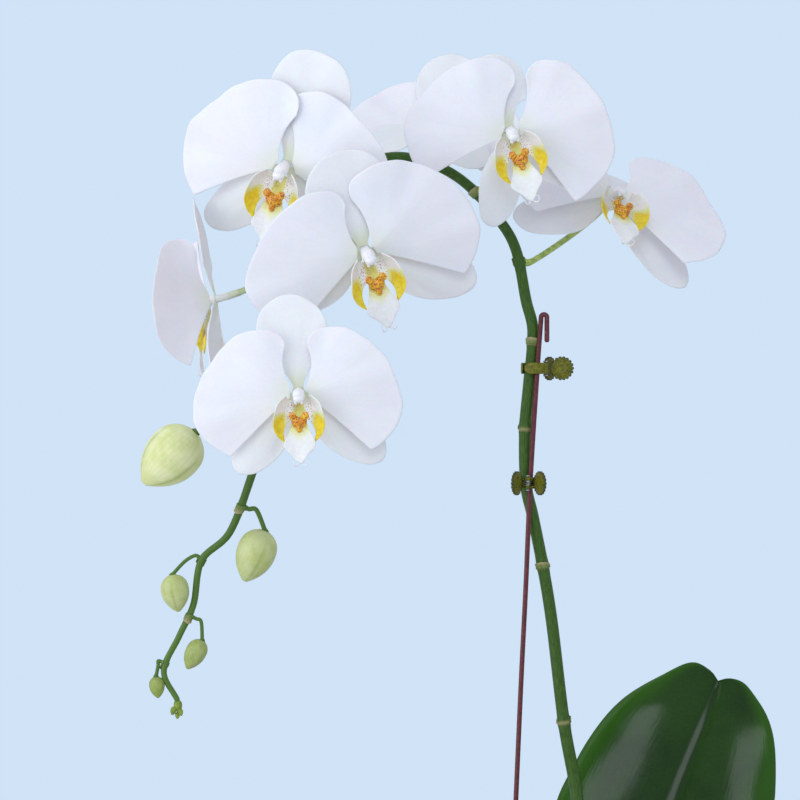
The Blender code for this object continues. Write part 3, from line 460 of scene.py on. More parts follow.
leaf_skin, tree, shader = finish("leaf_cuticle", colour(22, 58, 10), 0.2, Specular_IOR_Level=0.24)
place = own_place(tree)
lengthwise = own_uv(tree)
under = marked(tree, "under")
middle = marked(tree, "midrib")
edge = marked(tree, "edge")
tone = use(tree, mottling, {"Place": place, "Scale": 26.0, "Detail": 3.0, "Dark": colour(18, 48, 8),
                            "Light": colour(32, 70, 12), "Bump": 0.12, "Depth": 0.002})
fine_tone = use(tree, mottling, {"Place": place, "Scale": 900.0, "Detail": 3.0, "Dark": colour(18, 48, 8),
                                 "Light": colour(32, 68, 12), "Bump": 0.1, "Depth": 0.0001})
top = blended(tree, 0.35, tone["Colour"], fine_tone["Colour"])
top = blended(tree, times(tree, edge, 0.7), top, colour(50, 104, 8))
# Along the midrib channel the green is painted darker: painted shade in the crease.
top = blended(tree, times(tree, middle, 0.7), top, colour(18, 46, 10))
tree.links.new(blended(tree, under, top, colour(74, 104, 52)), shader.inputs["Base Color"])
stretch = node(tree, "ShaderNodeMapping", {"Vector": lengthwise, "Scale": (150.0, 0.5, 1.0)}).outputs[0]
strands = node(tree, "ShaderNodeTexNoise", {"Vector": stretch, "Scale": 1.0, "Detail": 2.0}).outputs["Fac"]
veined = node(tree, "ShaderNodeBump", {"Strength": 0.16, "Distance": 0.0003, "Height": strands,
                                       "Normal": tone["Normal"]})
tree.links.new(veined.outputs["Normal"], shader.inputs["Normal"])
tree.links.new(spread(tree, under, 0.0, 1.0, 0.17, 0.5), shader.inputs["Roughness"])
leaf_steps, leaf_across, spine_pieces = 64, 20, 400
for name, ((bearing, base_height), midrib, widths, channel, across) in leaf_forms.items():
    reach = crown_radius + 0.0011 + channel * widths[0] / 2 + 0.0006
    base = (crown_middle[0] + reach * cos(radians(bearing)), crown_middle[1] + reach * sin(radians(bearing)),
            base_height)
    spine = smooth_line([base, *midrib], spine_pieces)
    length = float(np.linalg.norm(np.diff(spine, axis=0), axis=1).sum())
    half = smooth_line([(k / (len(widths) - 1), w) for k, w in enumerate(widths)], 120)
    lobe_size = widths[-1] / leaf_forms["leaf_1"][2][-1]
    rings, under_marks, midrib_shade_marks, edge_marks = [], [], [], []
    for i in range(leaf_steps + 1):
        share = 1 - (1 - i / leaf_steps) ** 1.8
        here = int(round(share * spine_pieces))
        next_step = spine[min(here + 1, spine_pieces)] - spine[here]
        centre = spine[here] + next_step * (share * spine_pieces - here)
        closing = min(1.0, (1 - share) / 0.52)
        width = float(np.interp(share, half[:, 0], half[:, 1]))
        width = max(width * (1 - (1 - closing) ** 2.2) ** (1 / 2.2), 0.0003)
        forward = Vector(spine[min(here + 8, spine_pieces)] - spine[max(here - 8, 0)]).normalized()
        side = Vector(across)
        side = (side - forward * side.dot(forward)).normalized()
        up = side.cross(forward)
        if up.z < 0 or abs(up.z) < 0.3 and up.y > 0:
            up = -up
        near_tip = max(0.0, 1 - (1 - share) * length / 0.02)
        thick = 0.0023 * (0.35 + 0.65 * min(1.0, (1 - share) * 6)) + 0.002 * max(0.0, 1 - share * 9)
        marks = []
        ring = []
        for layer_side in (1, -1):
            for k in range(leaf_across + 1):
                v = (2 * k / leaf_across - 1) * layer_side
                curve = 2 * abs(v) - v * v - 0.28 * abs(v) ** 4
                groove = 0.0008 * np.exp(-((v / 0.05) ** 2)) * min(1.0, width / 0.02)
                wave = 0.0010 * sin(11 * share + 3 * v) * abs(v) ** 2
                lift = channel * width * curve * 0.92 + wave
                fat = thick / 2 * sqrt(max(1 - v * v, 0.02)) ** 0.7
                height_here = lift + fat * layer_side - groove * (1 if layer_side > 0 else 1.6)
                left, right = width * v + 0.017, width * v - 0.013
                lobe = 0.0062 * np.exp(-((left / 0.0105) ** 2)) + 0.0026 * np.exp(-((right / 0.008) ** 2))
                notch = 0.0028 * np.exp(-((width * v / 0.003) ** 2))
                reach_out = forward * ((lobe - notch) * near_tip * lobe_size)
                ring.append(Vector(centre) + side * (width * v) + up * height_here + reach_out)
                # The second mark is where the painted shade of the midrib crease goes.
                marks.append((1.0 if layer_side < 0 else 0.0, float(np.exp(-((v / 0.035) ** 2))),
                              float(np.clip((abs(v) - 0.66) / 0.32, 0, 1))))
        rings.append(ring)
        under_marks.append([m[0] for m in marks])
        midrib_shade_marks.append([m[1] for m in marks])
        edge_marks.append([m[2] for m in marks])
    leaf = ringed(name, rings, {"under": under_marks, "midrib": midrib_shade_marks, "edge": edge_marks})
    fit(bring("blade_of_" + name, leaf), leaf_skin, "leaf_green", "plant", name)


# ---- Crown ----
# The short stem between the leaves. It is wrapped in the leaves' own clasping sheaths, dry and buff at the
# bark and green above.
crown_skin, tree, shader = finish("leaf_sheath", colour(88, 112, 40), 0.5, Coat_Weight=0.1)
place = own_place(tree)
height = node(tree, "ShaderNodeSeparateXYZ", {0: place}).outputs[2]
wrap = use(tree, mottling, {"Place": place, "Scale": 160.0, "Detail": 5.0, "Dark": colour(60, 92, 26),
                            "Light": colour(112, 138, 58), "Bump": 0.4, "Depth": 0.0005})
dry = use(tree, mottling, {"Place": place, "Scale": 300.0, "Detail": 5.0, "Dark": colour(110, 84, 48),
                           "Light": colour(170, 146, 98), "Bump": 0.0, "Depth": 0.0})
tree.links.new(blended(tree, spread(tree, height, 0.121, 0.113), wrap["Colour"], dry["Colour"]),
               shader.inputs["Base Color"])
tree.links.new(wrap["Normal"], shader.inputs["Normal"])
rings = []
for height_share in np.linspace(0, 1, 30):
    z = 0.0965 + 0.0425 * height_share
    ring = []
    for k in range(72):
        turn = 2 * pi * k / 72
        radius = crown_radius * (1 - 0.85 * max(0.0, (height_share - 0.72) / 0.28) ** 2)
        for (bearing, base_height), *_ in leaf_forms.values():
            apart = (turn - radians(bearing) + pi) % (2 * pi) - pi
            sheath_rim = base_height - 0.005 * abs(apart) ** 1.5
            if z < sheath_rim:
                radius = max(radius, crown_radius + 0.0005)
        ring.append((crown_middle[0] + radius * cos(turn), crown_middle[1] + radius * sin(turn), z))
    rings.append(ring)
fit(bring("crown_sheaths", ringed("crown_sheaths", rings)), crown_skin, "crown_green", "plant", "crown")


# ---- Aerial roots ----
# Roots that grew out over the rim, in a silvery sponge called velamen, with a fresh green tip.
def tube(name, line, radii, around, marks=None, squash=None):
    """A closed round stem along a line, with its own radius at each place."""
    line = np.array(line, float)
    ways = np.gradient(line, axis=0)
    ways /= np.linalg.norm(ways, axis=1)[:, None]
    normal = np.cross(ways[0], (0.31, 0.17, 0.93))
    normal /= np.linalg.norm(normal)
    rings = []
    for point, way, radius in zip(line, ways, radii):
        normal = normal - way * (normal @ way)
        normal /= np.linalg.norm(normal)
        other = np.cross(way, normal)
        ring = []
        for k in range(around):
            turn = 2 * pi * k / around
            r = radius if squash is None else radius * squash(turn)
            ring.append(point + normal * (r * cos(turn)) + other * (r * sin(turn)))
        rings.append(ring)
    return ringed(name, rings, marks)


def capped(line, radii, steps=5):
    """The line and radii with both ends rounded over."""
    line, radii = np.array(line, float), np.array(radii, float)
    first = (line[0] - line[1]) / np.linalg.norm(line[0] - line[1])
    last = (line[-1] - line[-2]) / np.linalg.norm(line[-1] - line[-2])
    turns = np.linspace(0, pi / 2, steps + 1)[1:]
    start = [line[0] + first * radii[0] * sin(t) * 0.8 for t in turns][::-1]
    end = [line[-1] + last * radii[-1] * sin(t) * 0.8 for t in turns]
    thin_start = [radii[0] * max(cos(t), 0.03) for t in turns][::-1]
    thin_end = [radii[-1] * max(cos(t), 0.03) for t in turns]
    return np.vstack([start, line, end]), np.concatenate([thin_start, radii, thin_end])


velamen, tree, shader = finish("velamen", colour(176, 180, 160), 0.8)
place = own_place(tree)
tip = marked(tree, "tip")
silver = use(tree, mottling, {"Place": place, "Scale": 420.0, "Detail": 5.0, "Dark": colour(138, 144, 118),
                              "Light": colour(202, 204, 188), "Bump": 0.5, "Depth": 0.0003})
tree.links.new(blended(tree, tip, silver["Colour"], colour(98, 128, 44)), shader.inputs["Base Color"])
tree.links.new(spread(tree, tip, 0.0, 1.0, 0.85, 0.4), shader.inputs["Roughness"])
tree.links.new(silver["Normal"], shader.inputs["Normal"])
root_ways = {
    "root_1": (-50, [(0.027, -0.014, 0.1175), (0.0275, -0.028, 0.1215)],
               [(-60, -0.008, 0.007), (-65, 0.006, 0.0065), (-66.5, 0.015, -0.007), (-67, 0.017, -0.032),
                (-69, 0.013, -0.058)]),
    "root_2": (48, [(0.0250, 0.0208, 0.1172), (0.030, 0.034, 0.122)],
               [(47.7, 0.001, 0.007), (47.6, 0.011, 0.0045), (46, 0.018, -0.014), (44, 0.018, -0.034),
                (43.3, 0.013, -0.052)]),
}
for name, (bearing, inside_points, outside) in root_ways.items():
    turn = radians(bearing)
    start = (crown_middle[0] + 0.0118 * cos(turn), crown_middle[1] + 0.0118 * sin(turn), 0.1158)
    past = [((pot_top + beyond) * cos(radians(b)), (pot_top + beyond) * sin(radians(b)), pot_height + above)
            for b, beyond, above in outside]
    line = smooth_line([start, *inside_points, *past], 90)
    radii = 0.0024 * np.linspace(1.0, 0.82, 91) * (1 + 0.05 * np.sin(np.linspace(0, 31, 91)))
    line, radii = capped(line, radii)
    tips = np.clip((np.linspace(0, 1, len(line)) - 0.86) / 0.06, 0, 1)
    root = tube(name, line, radii, 20, {"tip": tips})
    fit(bring("aerial_" + name, root), velamen, "root_velamen", "plant", name)


# ---- Flower spike ----
# One green stem that rises, arches over and hangs with the buds. At each node there is a slight swelling,
# a pale ring scar and a small dry bract that hugs the stem.
crown_face = crown_middle[1] - crown_radius - 0.0006
spike_points = [
    (0.0120, crown_face, 0.1262), (0.0118, crown_face - 0.0045, 0.1272), (0.0085, crown_face - 0.0075, 0.142),
    (0.0015, -0.0080, 0.185), (0.001, 0, 0.225),
    (-0.0055, 0, 0.2635), (-0.0115, 0, 0.3135), (-0.016, 0, 0.3415), (-0.021, 0, 0.3665), (-0.0245, 0, 0.383),
    (-0.025, 0, 0.410), (-0.023, 0, 0.433), (-0.021, 0, 0.459), (-0.0245, 0, 0.475), (-0.0295, 0, 0.500),
    (-0.038, -0.002, 0.515), (-0.0525, -0.005, 0.531), (-0.0675, -0.010, 0.5405), (-0.0875, -0.015, 0.5455),
    (-0.107, -0.020, 0.541), (-0.1245, -0.025, 0.5285), (-0.1365, -0.030, 0.5085), (-0.1435, -0.040, 0.4835),
    (-0.146, -0.045, 0.459), (-0.148, -0.050, 0.4345), (-0.153, -0.050, 0.4105), (-0.1595, -0.046, 0.3885),
    (-0.1705, -0.040, 0.3605), (-0.1845, -0.037, 0.3465), (-0.1885, -0.035, 0.325), (-0.1955, -0.035, 0.3095),
    (-0.203, -0.035, 0.2925), (-0.1965, -0.035, 0.2785),
]
spike_taper = [1.0, 0.97, 0.92, 0.90, 0.92, 0.80, 0.74, 0.70, 0.66, 0.52, 0.42]
spike_base_radius, spike_pieces = 0.0033, 600
fine_spike = smooth_line(spike_points, spike_pieces)


def spike_at(share):
    """The spike's middle at a share of its length."""
    return Vector(fine_spike[int(round(share * spike_pieces))])


def spike_way(share):
    """The way the spike grows there."""
    here = int(round(share * spike_pieces))
    ahead, behind = Vector(fine_spike[min(here + 3, spike_pieces)]), Vector(fine_spike[max(here - 3, 0)])
    return (ahead - behind).normalized()


def spike_thick(share):
    """The spike's radius there."""
    return spike_base_radius * float(np.interp(share, np.linspace(0, 1, len(spike_taper)), spike_taper))


def spike_share(height):
    """The share of the spike's length at a height on its rising part."""
    return float(np.interp(height, fine_spike[:270, 2], np.linspace(0, 0.45, 270)))


stem_skin, tree, shader = finish("stem_green", colour(72, 108, 36), 0.4, Specular_IOR_Level=0.35)
place = own_place(tree)
surface = own_uv(tree)
scar = marked(tree, "scar")
young = marked(tree, "young")
streaks = node(tree, "ShaderNodeMapping", {"Vector": surface, "Scale": (14.0, 1.2, 1.0)}).outputs[0]
fresh = use(tree, mottling, {"Place": streaks, "Scale": 2.2, "Detail": 5.0, "Dark": colour(42, 78, 14),
                             "Light": colour(66, 104, 26), "Bump": 0.15, "Depth": 0.0002})
dots = use(tree, specks, {"Place": place, "Scale": 900.0, "Size": 0.22})
green = blended(tree, times(tree, dots["Mask"], 0.2), fresh["Colour"], colour(104, 140, 60))
green = blended(tree, times(tree, young, 0.6), green, colour(96, 136, 56))
tree.links.new(blended(tree, scar, green, colour(176, 164, 118)), shader.inputs["Base Color"])
tree.links.new(spread(tree, scar, 0.0, 1.0, 0.42, 0.8), shader.inputs["Roughness"])
tree.links.new(fresh["Normal"], shader.inputs["Normal"])

node_shares = [spike_share(h) for h in (0.205, 0.2635, 0.3415, 0.410, 0.4525)]
joins = {"F": 0.483, "E": 0.537, "G": 0.577, "B": 0.642, "A": 0.660, "D": 0.732, "C": 0.755,
         "bud_1": 0.803, "bud_2": 0.862, "bud_3": 0.905, "bud_4": 0.942, "bud_5": 0.975}
knots = node_shares + list(joins.values())
spike_mm = 850
shares = np.linspace(0, 1, 560)
radii, scars = [], []
for share in shares:
    swell = sum(0.10 * np.exp(-(((share - k) * spike_mm / 3.0) ** 2)) for k in knots)
    ridge = max(np.exp(-(((share - k) * spike_mm / 0.45) ** 2)) for k in node_shares)
    radii.append(spike_thick(share) * (1 + swell + 0.07 * ridge))
    scars.append(0.85 * max(np.exp(-(((share - k + 0.0006) * spike_mm / 0.7) ** 2)) for k in node_shares))
places = np.arange(spike_pieces + 1)
line = np.stack([np.interp(shares * spike_pieces, places, fine_spike[:, k]) for k in range(3)], 1)
line, radii = capped(line, radii)
scars = [0] * 5 + scars + [0] * 5
young_marks = np.clip((np.linspace(0, 1, len(line)) - 0.72) / 0.25, 0, 1)
stem = tube("flower_spike", line, radii, 24, {"scar": scars, "young": young_marks})
fit(bring("spike_stem", stem), stem_skin, "stem_green", "plant", "flower_spike")

# Bracts: one thin keeled scale at each node, clasping half of the stem and free at its tip.
bract_skin, tree, shader = finish("bract_green", colour(150, 160, 96), 0.6)
place = own_place(tree)
tip = marked(tree, "tip")
dry = use(tree, mottling, {"Place": place, "Scale": 700.0, "Detail": 4.0, "Dark": colour(84, 112, 42),
                           "Light": colour(116, 138, 66), "Bump": 0.4, "Depth": 0.0002})
tree.links.new(blended(tree, tip, dry["Colour"], colour(186, 170, 126)), shader.inputs["Base Color"])
tree.links.new(dry["Normal"], shader.inputs["Normal"])
bract_points, bract_faces, bract_tips = [], [], []
for number, share in enumerate(knots):
    grow = spike_way(share)
    thick = spike_thick(share)
    centre = spike_at(share)
    young_here = share > 0.47
    length = 0.0046 if young_here else 0.0034
    spin = radians(70 + 180 * number if not young_here else 200 + 160 * number)
    first = grow.cross(Vector((0, 1, 0.2))).normalized()
    second = grow.cross(first)
    start = len(bract_points)
    rows, cols = 7, 9
    for face in (0.00012, 0.00040):
        for i in range(rows + 1):
            t = i / rows
            span = radians(115) * sqrt(max(1 - t**1.6, 0.0)) + 0.02
            for k in range(cols + 1):
                a = spin + span * (2 * k / cols - 1)
                flare = thick * 1.10 + face + 0.0006 * t**2.2 * (0.4 + 0.6 * cos(a - spin))
                out_way = first * cos(a) + second * sin(a)
                bract_points.append(centre + grow * (length * t - 0.0008) + out_way * flare)
                bract_tips.append(t**2)
    per = (rows + 1) * (cols + 1)
    for i in range(rows):
        for k in range(cols):
            a, b = start + i * (cols + 1) + k, start + (i + 1) * (cols + 1) + k
            bract_faces.append((a, a + 1, b + 1, b))
            bract_faces.append((per + a, per + b, per + b + 1, per + a + 1))
    around = [i * (cols + 1) for i in range(rows + 1)] + [rows * (cols + 1) + k for k in range(1, cols + 1)]
    around += [i * (cols + 1) + cols for i in range(rows - 1, -1, -1)] + list(range(cols - 1, 0, -1))
    for a, b in zip(around, around[1:] + around[:1]):
        bract_faces.append((start + a, start + b, start + per + b, start + per + a))
bracts = plain_mesh("stem_bracts", bract_points, bract_faces, None, {"tip": bract_tips})
fit(bring("stem_bracts", bracts), bract_skin, "stem_green", "plant", "flower_spike")


# ---- Stake ----
# Steel wire dipped in dark red-brown paint, bent to a tight hairpin at the top so that it has no sharp end,
# and pushed deep into the bark.
stake_radius, gap = 0.00125, 0.0003
clip_heights = {"clip_lower": 0.383, "clip_upper": 0.440}
stake_sides = {"clip_lower": (0.45, -0.893), "clip_upper": (0.74, -0.673)}


def stake_beside(clip):
    """The wire's middle where a clip holds it to the spike, and its distance from the spike's middle."""
    share = spike_share(clip_heights[clip])
    apart = spike_thick(share) + stake_radius + gap
    x, y = stake_sides[clip]
    return spike_at(share) + Vector((x, y, 0)) * apart, apart


hook_x, hook_y, hook_z = -0.0171, -0.0034, 0.4662
shaft = smooth_line([(-0.0378, -0.0047, 0.042), (-0.0297, -0.0048, 0.2266), (-0.0272, -0.0050, 0.2834),
                     (-0.0248, -0.0054, 0.3323), tuple(stake_beside("clip_lower")[0]),
                     tuple(stake_beside("clip_upper")[0]), (hook_x, hook_y, hook_z)], 150)
bend = 0.00145
hook_turns = np.linspace(0, pi, 15)[1:]
hook = [(hook_x + bend * (1 - cos(turn)), hook_y, hook_z + bend * sin(turn)) for turn in hook_turns]
leg = [(hook_x + 2 * bend, hook_y, hook_z - 0.0115 * k / 12) for k in range(1, 13)]
line = np.vstack([shaft, hook, leg])
line, radii = capped(line, [stake_radius] * len(line), 3)
worn = np.zeros(len(line))
worn[-9:] = 0.8
worn[-20:-9] = 0.25
paint, tree, shader = finish("stake_paint", colour(80, 40, 42), 0.38, Coat_Weight=0.1, Coat_Roughness=0.2,
                             Specular_IOR_Level=0.4)
place = own_place(tree)
rub = marked(tree, "worn")
dip = use(tree, mottling, {"Place": place, "Scale": 520.0, "Detail": 4.0, "Dark": colour(84, 32, 38),
                           "Light": colour(110, 46, 50), "Bump": 0.25, "Depth": 0.0002})
chipped = use(tree, specks, {"Place": place, "Scale": 420.0, "Size": 0.24})
bare = times(tree, chipped["Mask"], rub)
tree.links.new(blended(tree, bare, dip["Colour"], colour(150, 140, 136)), shader.inputs["Base Color"])
tree.links.new(bare, shader.inputs["Metallic"])
tree.links.new(dip["Normal"], shader.inputs["Normal"])
stake = tube("stake", line, radii, 16, {"worn": worn})
fit(bring("stake_wire", stake), paint, "stake_paint", "plant", "stake")


# ---- Clips ----
# Two spring claw clips in olive plastic that hold the stem to the wire. Each has two moulded halves with
# a hooked claw and a scalloped finger pad, turning on a steel pin against a small coil spring.
pad_tree = bpy.data.node_groups.new("scalloped_pad", "GeometryNodeTree")
pad_inputs = {}
for label, kind, value in (
    ("Teeth", "NodeSocketInt", 18), ("Radius", "NodeSocketFloat", 0.0052),
    ("Tooth Radius", "NodeSocketFloat", 0.00085), ("Thickness", "NodeSocketFloat", 0.0012),
):
    socket = pad_tree.interface.new_socket(label, in_out="INPUT", socket_type=kind)
    pad_inputs[label] = (socket.identifier, value)
pad_tree.interface.new_socket("Geometry", in_out="OUTPUT", socket_type="NodeSocketGeometry")
asked = node(pad_tree, "NodeGroupInput").outputs
ring = node(pad_tree, "GeometryNodeMeshCircle",
            {"Vertices": asked["Teeth"], "Radius": asked["Radius"]}).outputs[0]
tooth = node(pad_tree, "GeometryNodeMeshCylinder", {"Vertices": 10, "Radius": asked["Tooth Radius"],
                                                    "Depth": asked["Thickness"]}).outputs["Mesh"]
teeth = node(pad_tree, "GeometryNodeInstanceOnPoints", {"Points": ring, "Instance": tooth}).outputs[0]
olive, tree, shader = finish("olive_plastic", colour(104, 108, 26), 0.4, Specular_IOR_Level=0.4)
rib_ring = node(pad_tree, "GeometryNodeMeshCircle",
                {"Vertices": asked["Teeth"],
                 "Radius": times(pad_tree, asked["Radius"], 0.72)}).outputs[0]
rib = node(pad_tree, "GeometryNodeMeshCube", {"Size": (0.0016, 0.00042, 0.00175)}).outputs[0]
spot = node(pad_tree, "GeometryNodeInputPosition").outputs[0]
turned_out = node(pad_tree, "FunctionNodeAlignRotationToVector", {"Vector": spot}, axis="X").outputs[0]
ribs = node(pad_tree, "GeometryNodeInstanceOnPoints", {"Points": rib_ring, "Instance": rib,
                                                       "Rotation": turned_out}).outputs[0]
joined = node(pad_tree, "GeometryNodeJoinGeometry", {0: teeth})
pad_tree.links.new(ribs, joined.inputs[0])
made_real = node(pad_tree, "GeometryNodeRealizeInstances", {0: joined.outputs[0]}).outputs[0]
painted = node(pad_tree, "GeometryNodeSetMaterial", {"Geometry": made_real, "Material": olive}).outputs[0]
pad_tree.links.new(painted, node(pad_tree, "NodeGroupOutput").inputs[0])

place = own_place(tree)
# The toothed rim of each finger pad is painted a darker olive: painted shade among the teeth.
rim_shade_mark = marked(tree, "rim")
moulded = use(tree, mottling, {"Place": place, "Scale": 700.0, "Detail": 3.0, "Dark": colour(88, 92, 8),
                               "Light": colour(128, 128, 18), "Bump": 0.2, "Depth": 0.0001})
shaded = blended(tree, times(tree, rim_shade_mark, 0.75), moulded["Colour"], colour(48, 54, 20))
tree.links.new(shaded, shader.inputs["Base Color"])
tree.links.new(spread(tree, moulded["Mask"], 0.0, 1.0, 0.36, 0.5), shader.inputs["Roughness"])
tree.links.new(moulded["Normal"], shader.inputs["Normal"])

steel, tree, shader = finish("spring_steel", colour(196, 198, 202), 0.28, Metallic=1.0)
place = own_place(tree)
drawn = use(tree, mottling, {"Place": place, "Scale": 1500.0, "Detail": 2.0, "Dark": colour(150, 152, 156),
                             "Light": colour(214, 216, 220), "Bump": 0.1, "Depth": 0.00005})
tree.links.new(drawn["Colour"], shader.inputs["Base Color"])
tree.links.new(spread(tree, drawn["Mask"], 0.0, 1.0, 0.38, 0.22), shader.inputs["Roughness"])

clip_width, clip_wall, pad_radius, pad_tilt = 0.0056, 0.0012, 0.0060, radians(25)
knuckle_radius, pin_radius, coil_radius, coil_reach = 0.0017, 0.0005, 0.00215, 0.0016


def merged(name, meshes, matrix):
    """Several meshes joined as one and put in their place."""
    mesh = bmesh.new()
    for part in meshes:
        mesh.from_mesh(part)
    mesh.transform(matrix)
    made = bpy.data.meshes.new(name)
    mesh.to_mesh(made)
    mesh.free()
    made.shade_smooth()
    return made


def moved(mesh, matrix):
    """A copy of the mesh, turned and moved."""
    made = mesh.copy()
    made.transform(matrix)
    if matrix.determinant() < 0:
        made.flip_normals()
    return made


def claw(side, inner):
    """The band of a half: a hooked claw round the stem, a bar past the hinge and the arm under the pad."""
    middle = inner + clip_wall / 2
    bar = knuckle_radius + 0.0014
    start = atan2(bar, sqrt(middle**2 - bar**2))
    centre_x = -(knuckle_radius + 0.0002 + inner + clip_wall)
    way = []
    for k in range(25):
        turn = radians(168) + (start - radians(168)) * k / 24
        way.append((centre_x + middle * cos(turn), middle * sin(turn)))
    way += [(0, bar)] + [(cos(pad_tilt) * r, bar + sin(pad_tilt) * r) for r in (0.0012, 0.0026, 0.0042)]
    way = smooth_line(way, 44)
    rings = []
    for i, (x, y) in enumerate(way):
        ahead = way[min(i + 1, 44)] - way[max(i - 1, 0)]
        ahead = ahead / np.hypot(*ahead)
        tip = min(1.0, (i + 0.6) / 7)
        half = clip_width / 2 * (0.42 + 0.58 * tip)
        thick = clip_wall / 2 * (0.45 + 0.55 * tip)
        ring = []
        for k in range(20):
            turn = 2 * pi * k / 20
            c, s = cos(turn), sin(turn)
            across = thick * np.sign(c) * abs(c) ** 0.45
            down = half * np.sign(s) * abs(s) ** 0.45
            ring.append((x - ahead[1] * across, side * (y + ahead[0] * across), down))
        rings.append(ring)
    return ringed("claw", rings)


def barrel(low, high):
    """One knuckle of the hinge with eased rims and its bore."""
    profile = rounded([(pin_radius + 0.0002, low), (knuckle_radius, low), (knuckle_radius, high),
                       (pin_radius + 0.0002, high)], 0.00025)
    rings = [[(r * cos(2 * pi * k / 28), r * sin(2 * pi * k / 28), z) for k in range(28)] for r, z in profile]
    return ringed("barrel", rings)


for name, yaw in (("clip_lower", -90), ("clip_upper", 30)):
    share = spike_share(clip_heights[name])
    spike_middle, thick = spike_at(share), spike_thick(share)
    stake_middle, apart = stake_beside(name)
    bundle = spike_middle + (stake_middle - spike_middle).normalized() * (apart + stake_radius - thick) / 2
    inner = (thick + stake_radius + apart) / 2 + 0.00045
    hinge = knuckle_radius + 0.0002 + inner + clip_wall
    turn = radians(yaw)
    pin_middle = bundle + Vector((cos(turn), sin(turn), 0)) * hinge
    matrix = Matrix.Translation(pin_middle) @ Matrix.Rotation(turn, 4, "Z")
    half, inside_end, bar = clip_width / 2, clip_width * 0.17, knuckle_radius + 0.0014
    for side, word, body in ((1, "fixed", "plant"), (-1, "moving", name + "_jaw")):
        spans = [(-inside_end, inside_end)]
        if word == "fixed":
            spans = [(inside_end + gap, half), (-half, -inside_end - gap)]
        blank = bring("pad_blank", bpy.data.meshes.new("pad_blank"))
        scallops = blank.modifiers.new("scallops", "NODES")
        scallops.node_group = pad_tree
        for label, (identifier, value) in pad_inputs.items():
            scallops[identifier] = value
        settled(blank)
        disc = rounded([(0, 0.00062), (0.0016, 0.00062), (0.0022, 0.00095), (0.0030, 0.00062),
                        (0.0052, 0.00062), (0.0054, 0.0), (0.0052, -0.00062), (0, -0.00062)], 0.0003, 4)
        reach = pad_radius + 0.0003
        pad_place = Matrix.Translation((reach * cos(pad_tilt), side * (bar + reach * sin(pad_tilt)), 0))
        pad_place = pad_place @ Matrix.Rotation(side * pad_tilt, 4, "Z")
        pad_place = pad_place @ Matrix.Rotation(-side * pi / 2, 4, "X")
        parts = [claw(side, inner), moved(blank.data, pad_place), moved(lathe("pad", disc, 48), pad_place)]
        bpy.data.objects.remove(blank, do_unlink=True)
        for low, high in spans:
            parts.append(barrel(low, high))
            web = bmesh.new()
            bmesh.ops.create_cube(web, size=1.0)
            for vert in web.verts:
                wide = 0.0011 if vert.co.y * side > 0 else 0.0008
                vert.co = (vert.co.x * 2 * wide, side * 0.0006 if vert.co.y * side < 0 else side * bar,
                           low + (vert.co.z + 0.5) * (high - low))
            bmesh.ops.bevel(web, geom=web.edges[:], offset=0.00012, segments=2, affect="EDGES")
            web_mesh = bpy.data.meshes.new("web")
            web.to_mesh(web_mesh)
            web.free()
            parts.append(web_mesh)
        halves = merged(f"{name}_{word}", parts, matrix)
        to_pad = (matrix @ pad_place).inverted()
        # Mark the pad's toothed rim, where the painted shade goes.
        rim_shade_values = []
        for vert in halves.vertices:
            on_pad = to_pad @ vert.co
            share = float(np.clip((Vector(on_pad.xy).length - 0.0047) / 0.0009, 0, 1))
            rim_shade_values.append(share if abs(on_pad.z) < 0.0010 else 0.0)
        rim_shade_layer = halves.attributes.new("rim", "FLOAT", "POINT")
        rim_shade_layer.data.foreach_set("value", np.array(rim_shade_values, np.float32))
        fit(bring(f"{name}_{word}_claw", halves), olive, "clip_olive", body, f"{name}_{word}_half")
    head = half + gap
    cap_end, cap_radius = head + 0.0007, 0.0009
    pin_profile = rounded([(0, cap_end), (cap_radius, cap_end), (cap_radius, head), (pin_radius, head),
                           (pin_radius, -head), (cap_radius, -head), (cap_radius, -cap_end), (0, -cap_end)],
                          0.0002, 4)
    coil = []
    for k in range(121):
        along = k / 120
        spin = 2 * pi * 3.5 * along
        coil.append((-coil_radius * sin(spin), coil_radius * cos(spin), coil_reach * (2 * along - 1)))
    straight_end = [(0.0042 * (1 - t), 0.0024 - 0.00025 * t, -coil_reach) for t in (0.0, 0.25, 0.5, 0.75)]
    wire = np.array(straight_end + coil)
    wire, wire_radii = capped(wire, [0.00026] * len(wire), 2)
    steel_parts = [lathe("pin", pin_profile, 20), tube("coil", wire, wire_radii, 8)]
    spring = merged(name + "_spring", steel_parts, matrix)
    fit(bring(name + "_spring", spring), steel, "pin_steel", "plant", name + "_spring_pin")


# ---- Flowers: petals and sepals ----
# Each open flower has two broad petals in front of three sepals that share their base. They are thin, waxy
# and white, with faint fans of veins, a soft crease down the middle and a gently waved rim.
petal_edge = [
    (4.6, 23), (5.6, 27.5), (9.5, 31), (16.5, 32.3), (24, 31.5), (31, 28.5), (38, 23.5), (44.5, 16),
    (50, 6.5), (53, -3), (52, -12), (48.5, -19), (43, -25), (36.5, -29.5),
]
dorsal_edge = [
    (-14.5, 16), (-18.5, 24), (-19.5, 33), (-17, 42), (-11, 48), (-3, 50.8), (4, 50.6), (11, 47.5),
    (16.5, 41), (18.8, 33), (18, 24), (14.5, 16),
]
lateral_edge = [
    (15, -3), (27, -8), (36, -15), (43, -24), (45, -31), (42, -36.5), (35, -38), (26, -35.5), (17, -30.5),
    (10, -24), (5.5, -15),
]
petal_fan = ((3.8, 3.0), (4.4, -2.2), (4.0, 0.0), 15.0, 72.0, -42.0)
dorsal_fan = ((-1.9, 1.9), (1.9, 1.9), (0.0, 2.0), 14.0, 118.0, 62.0)
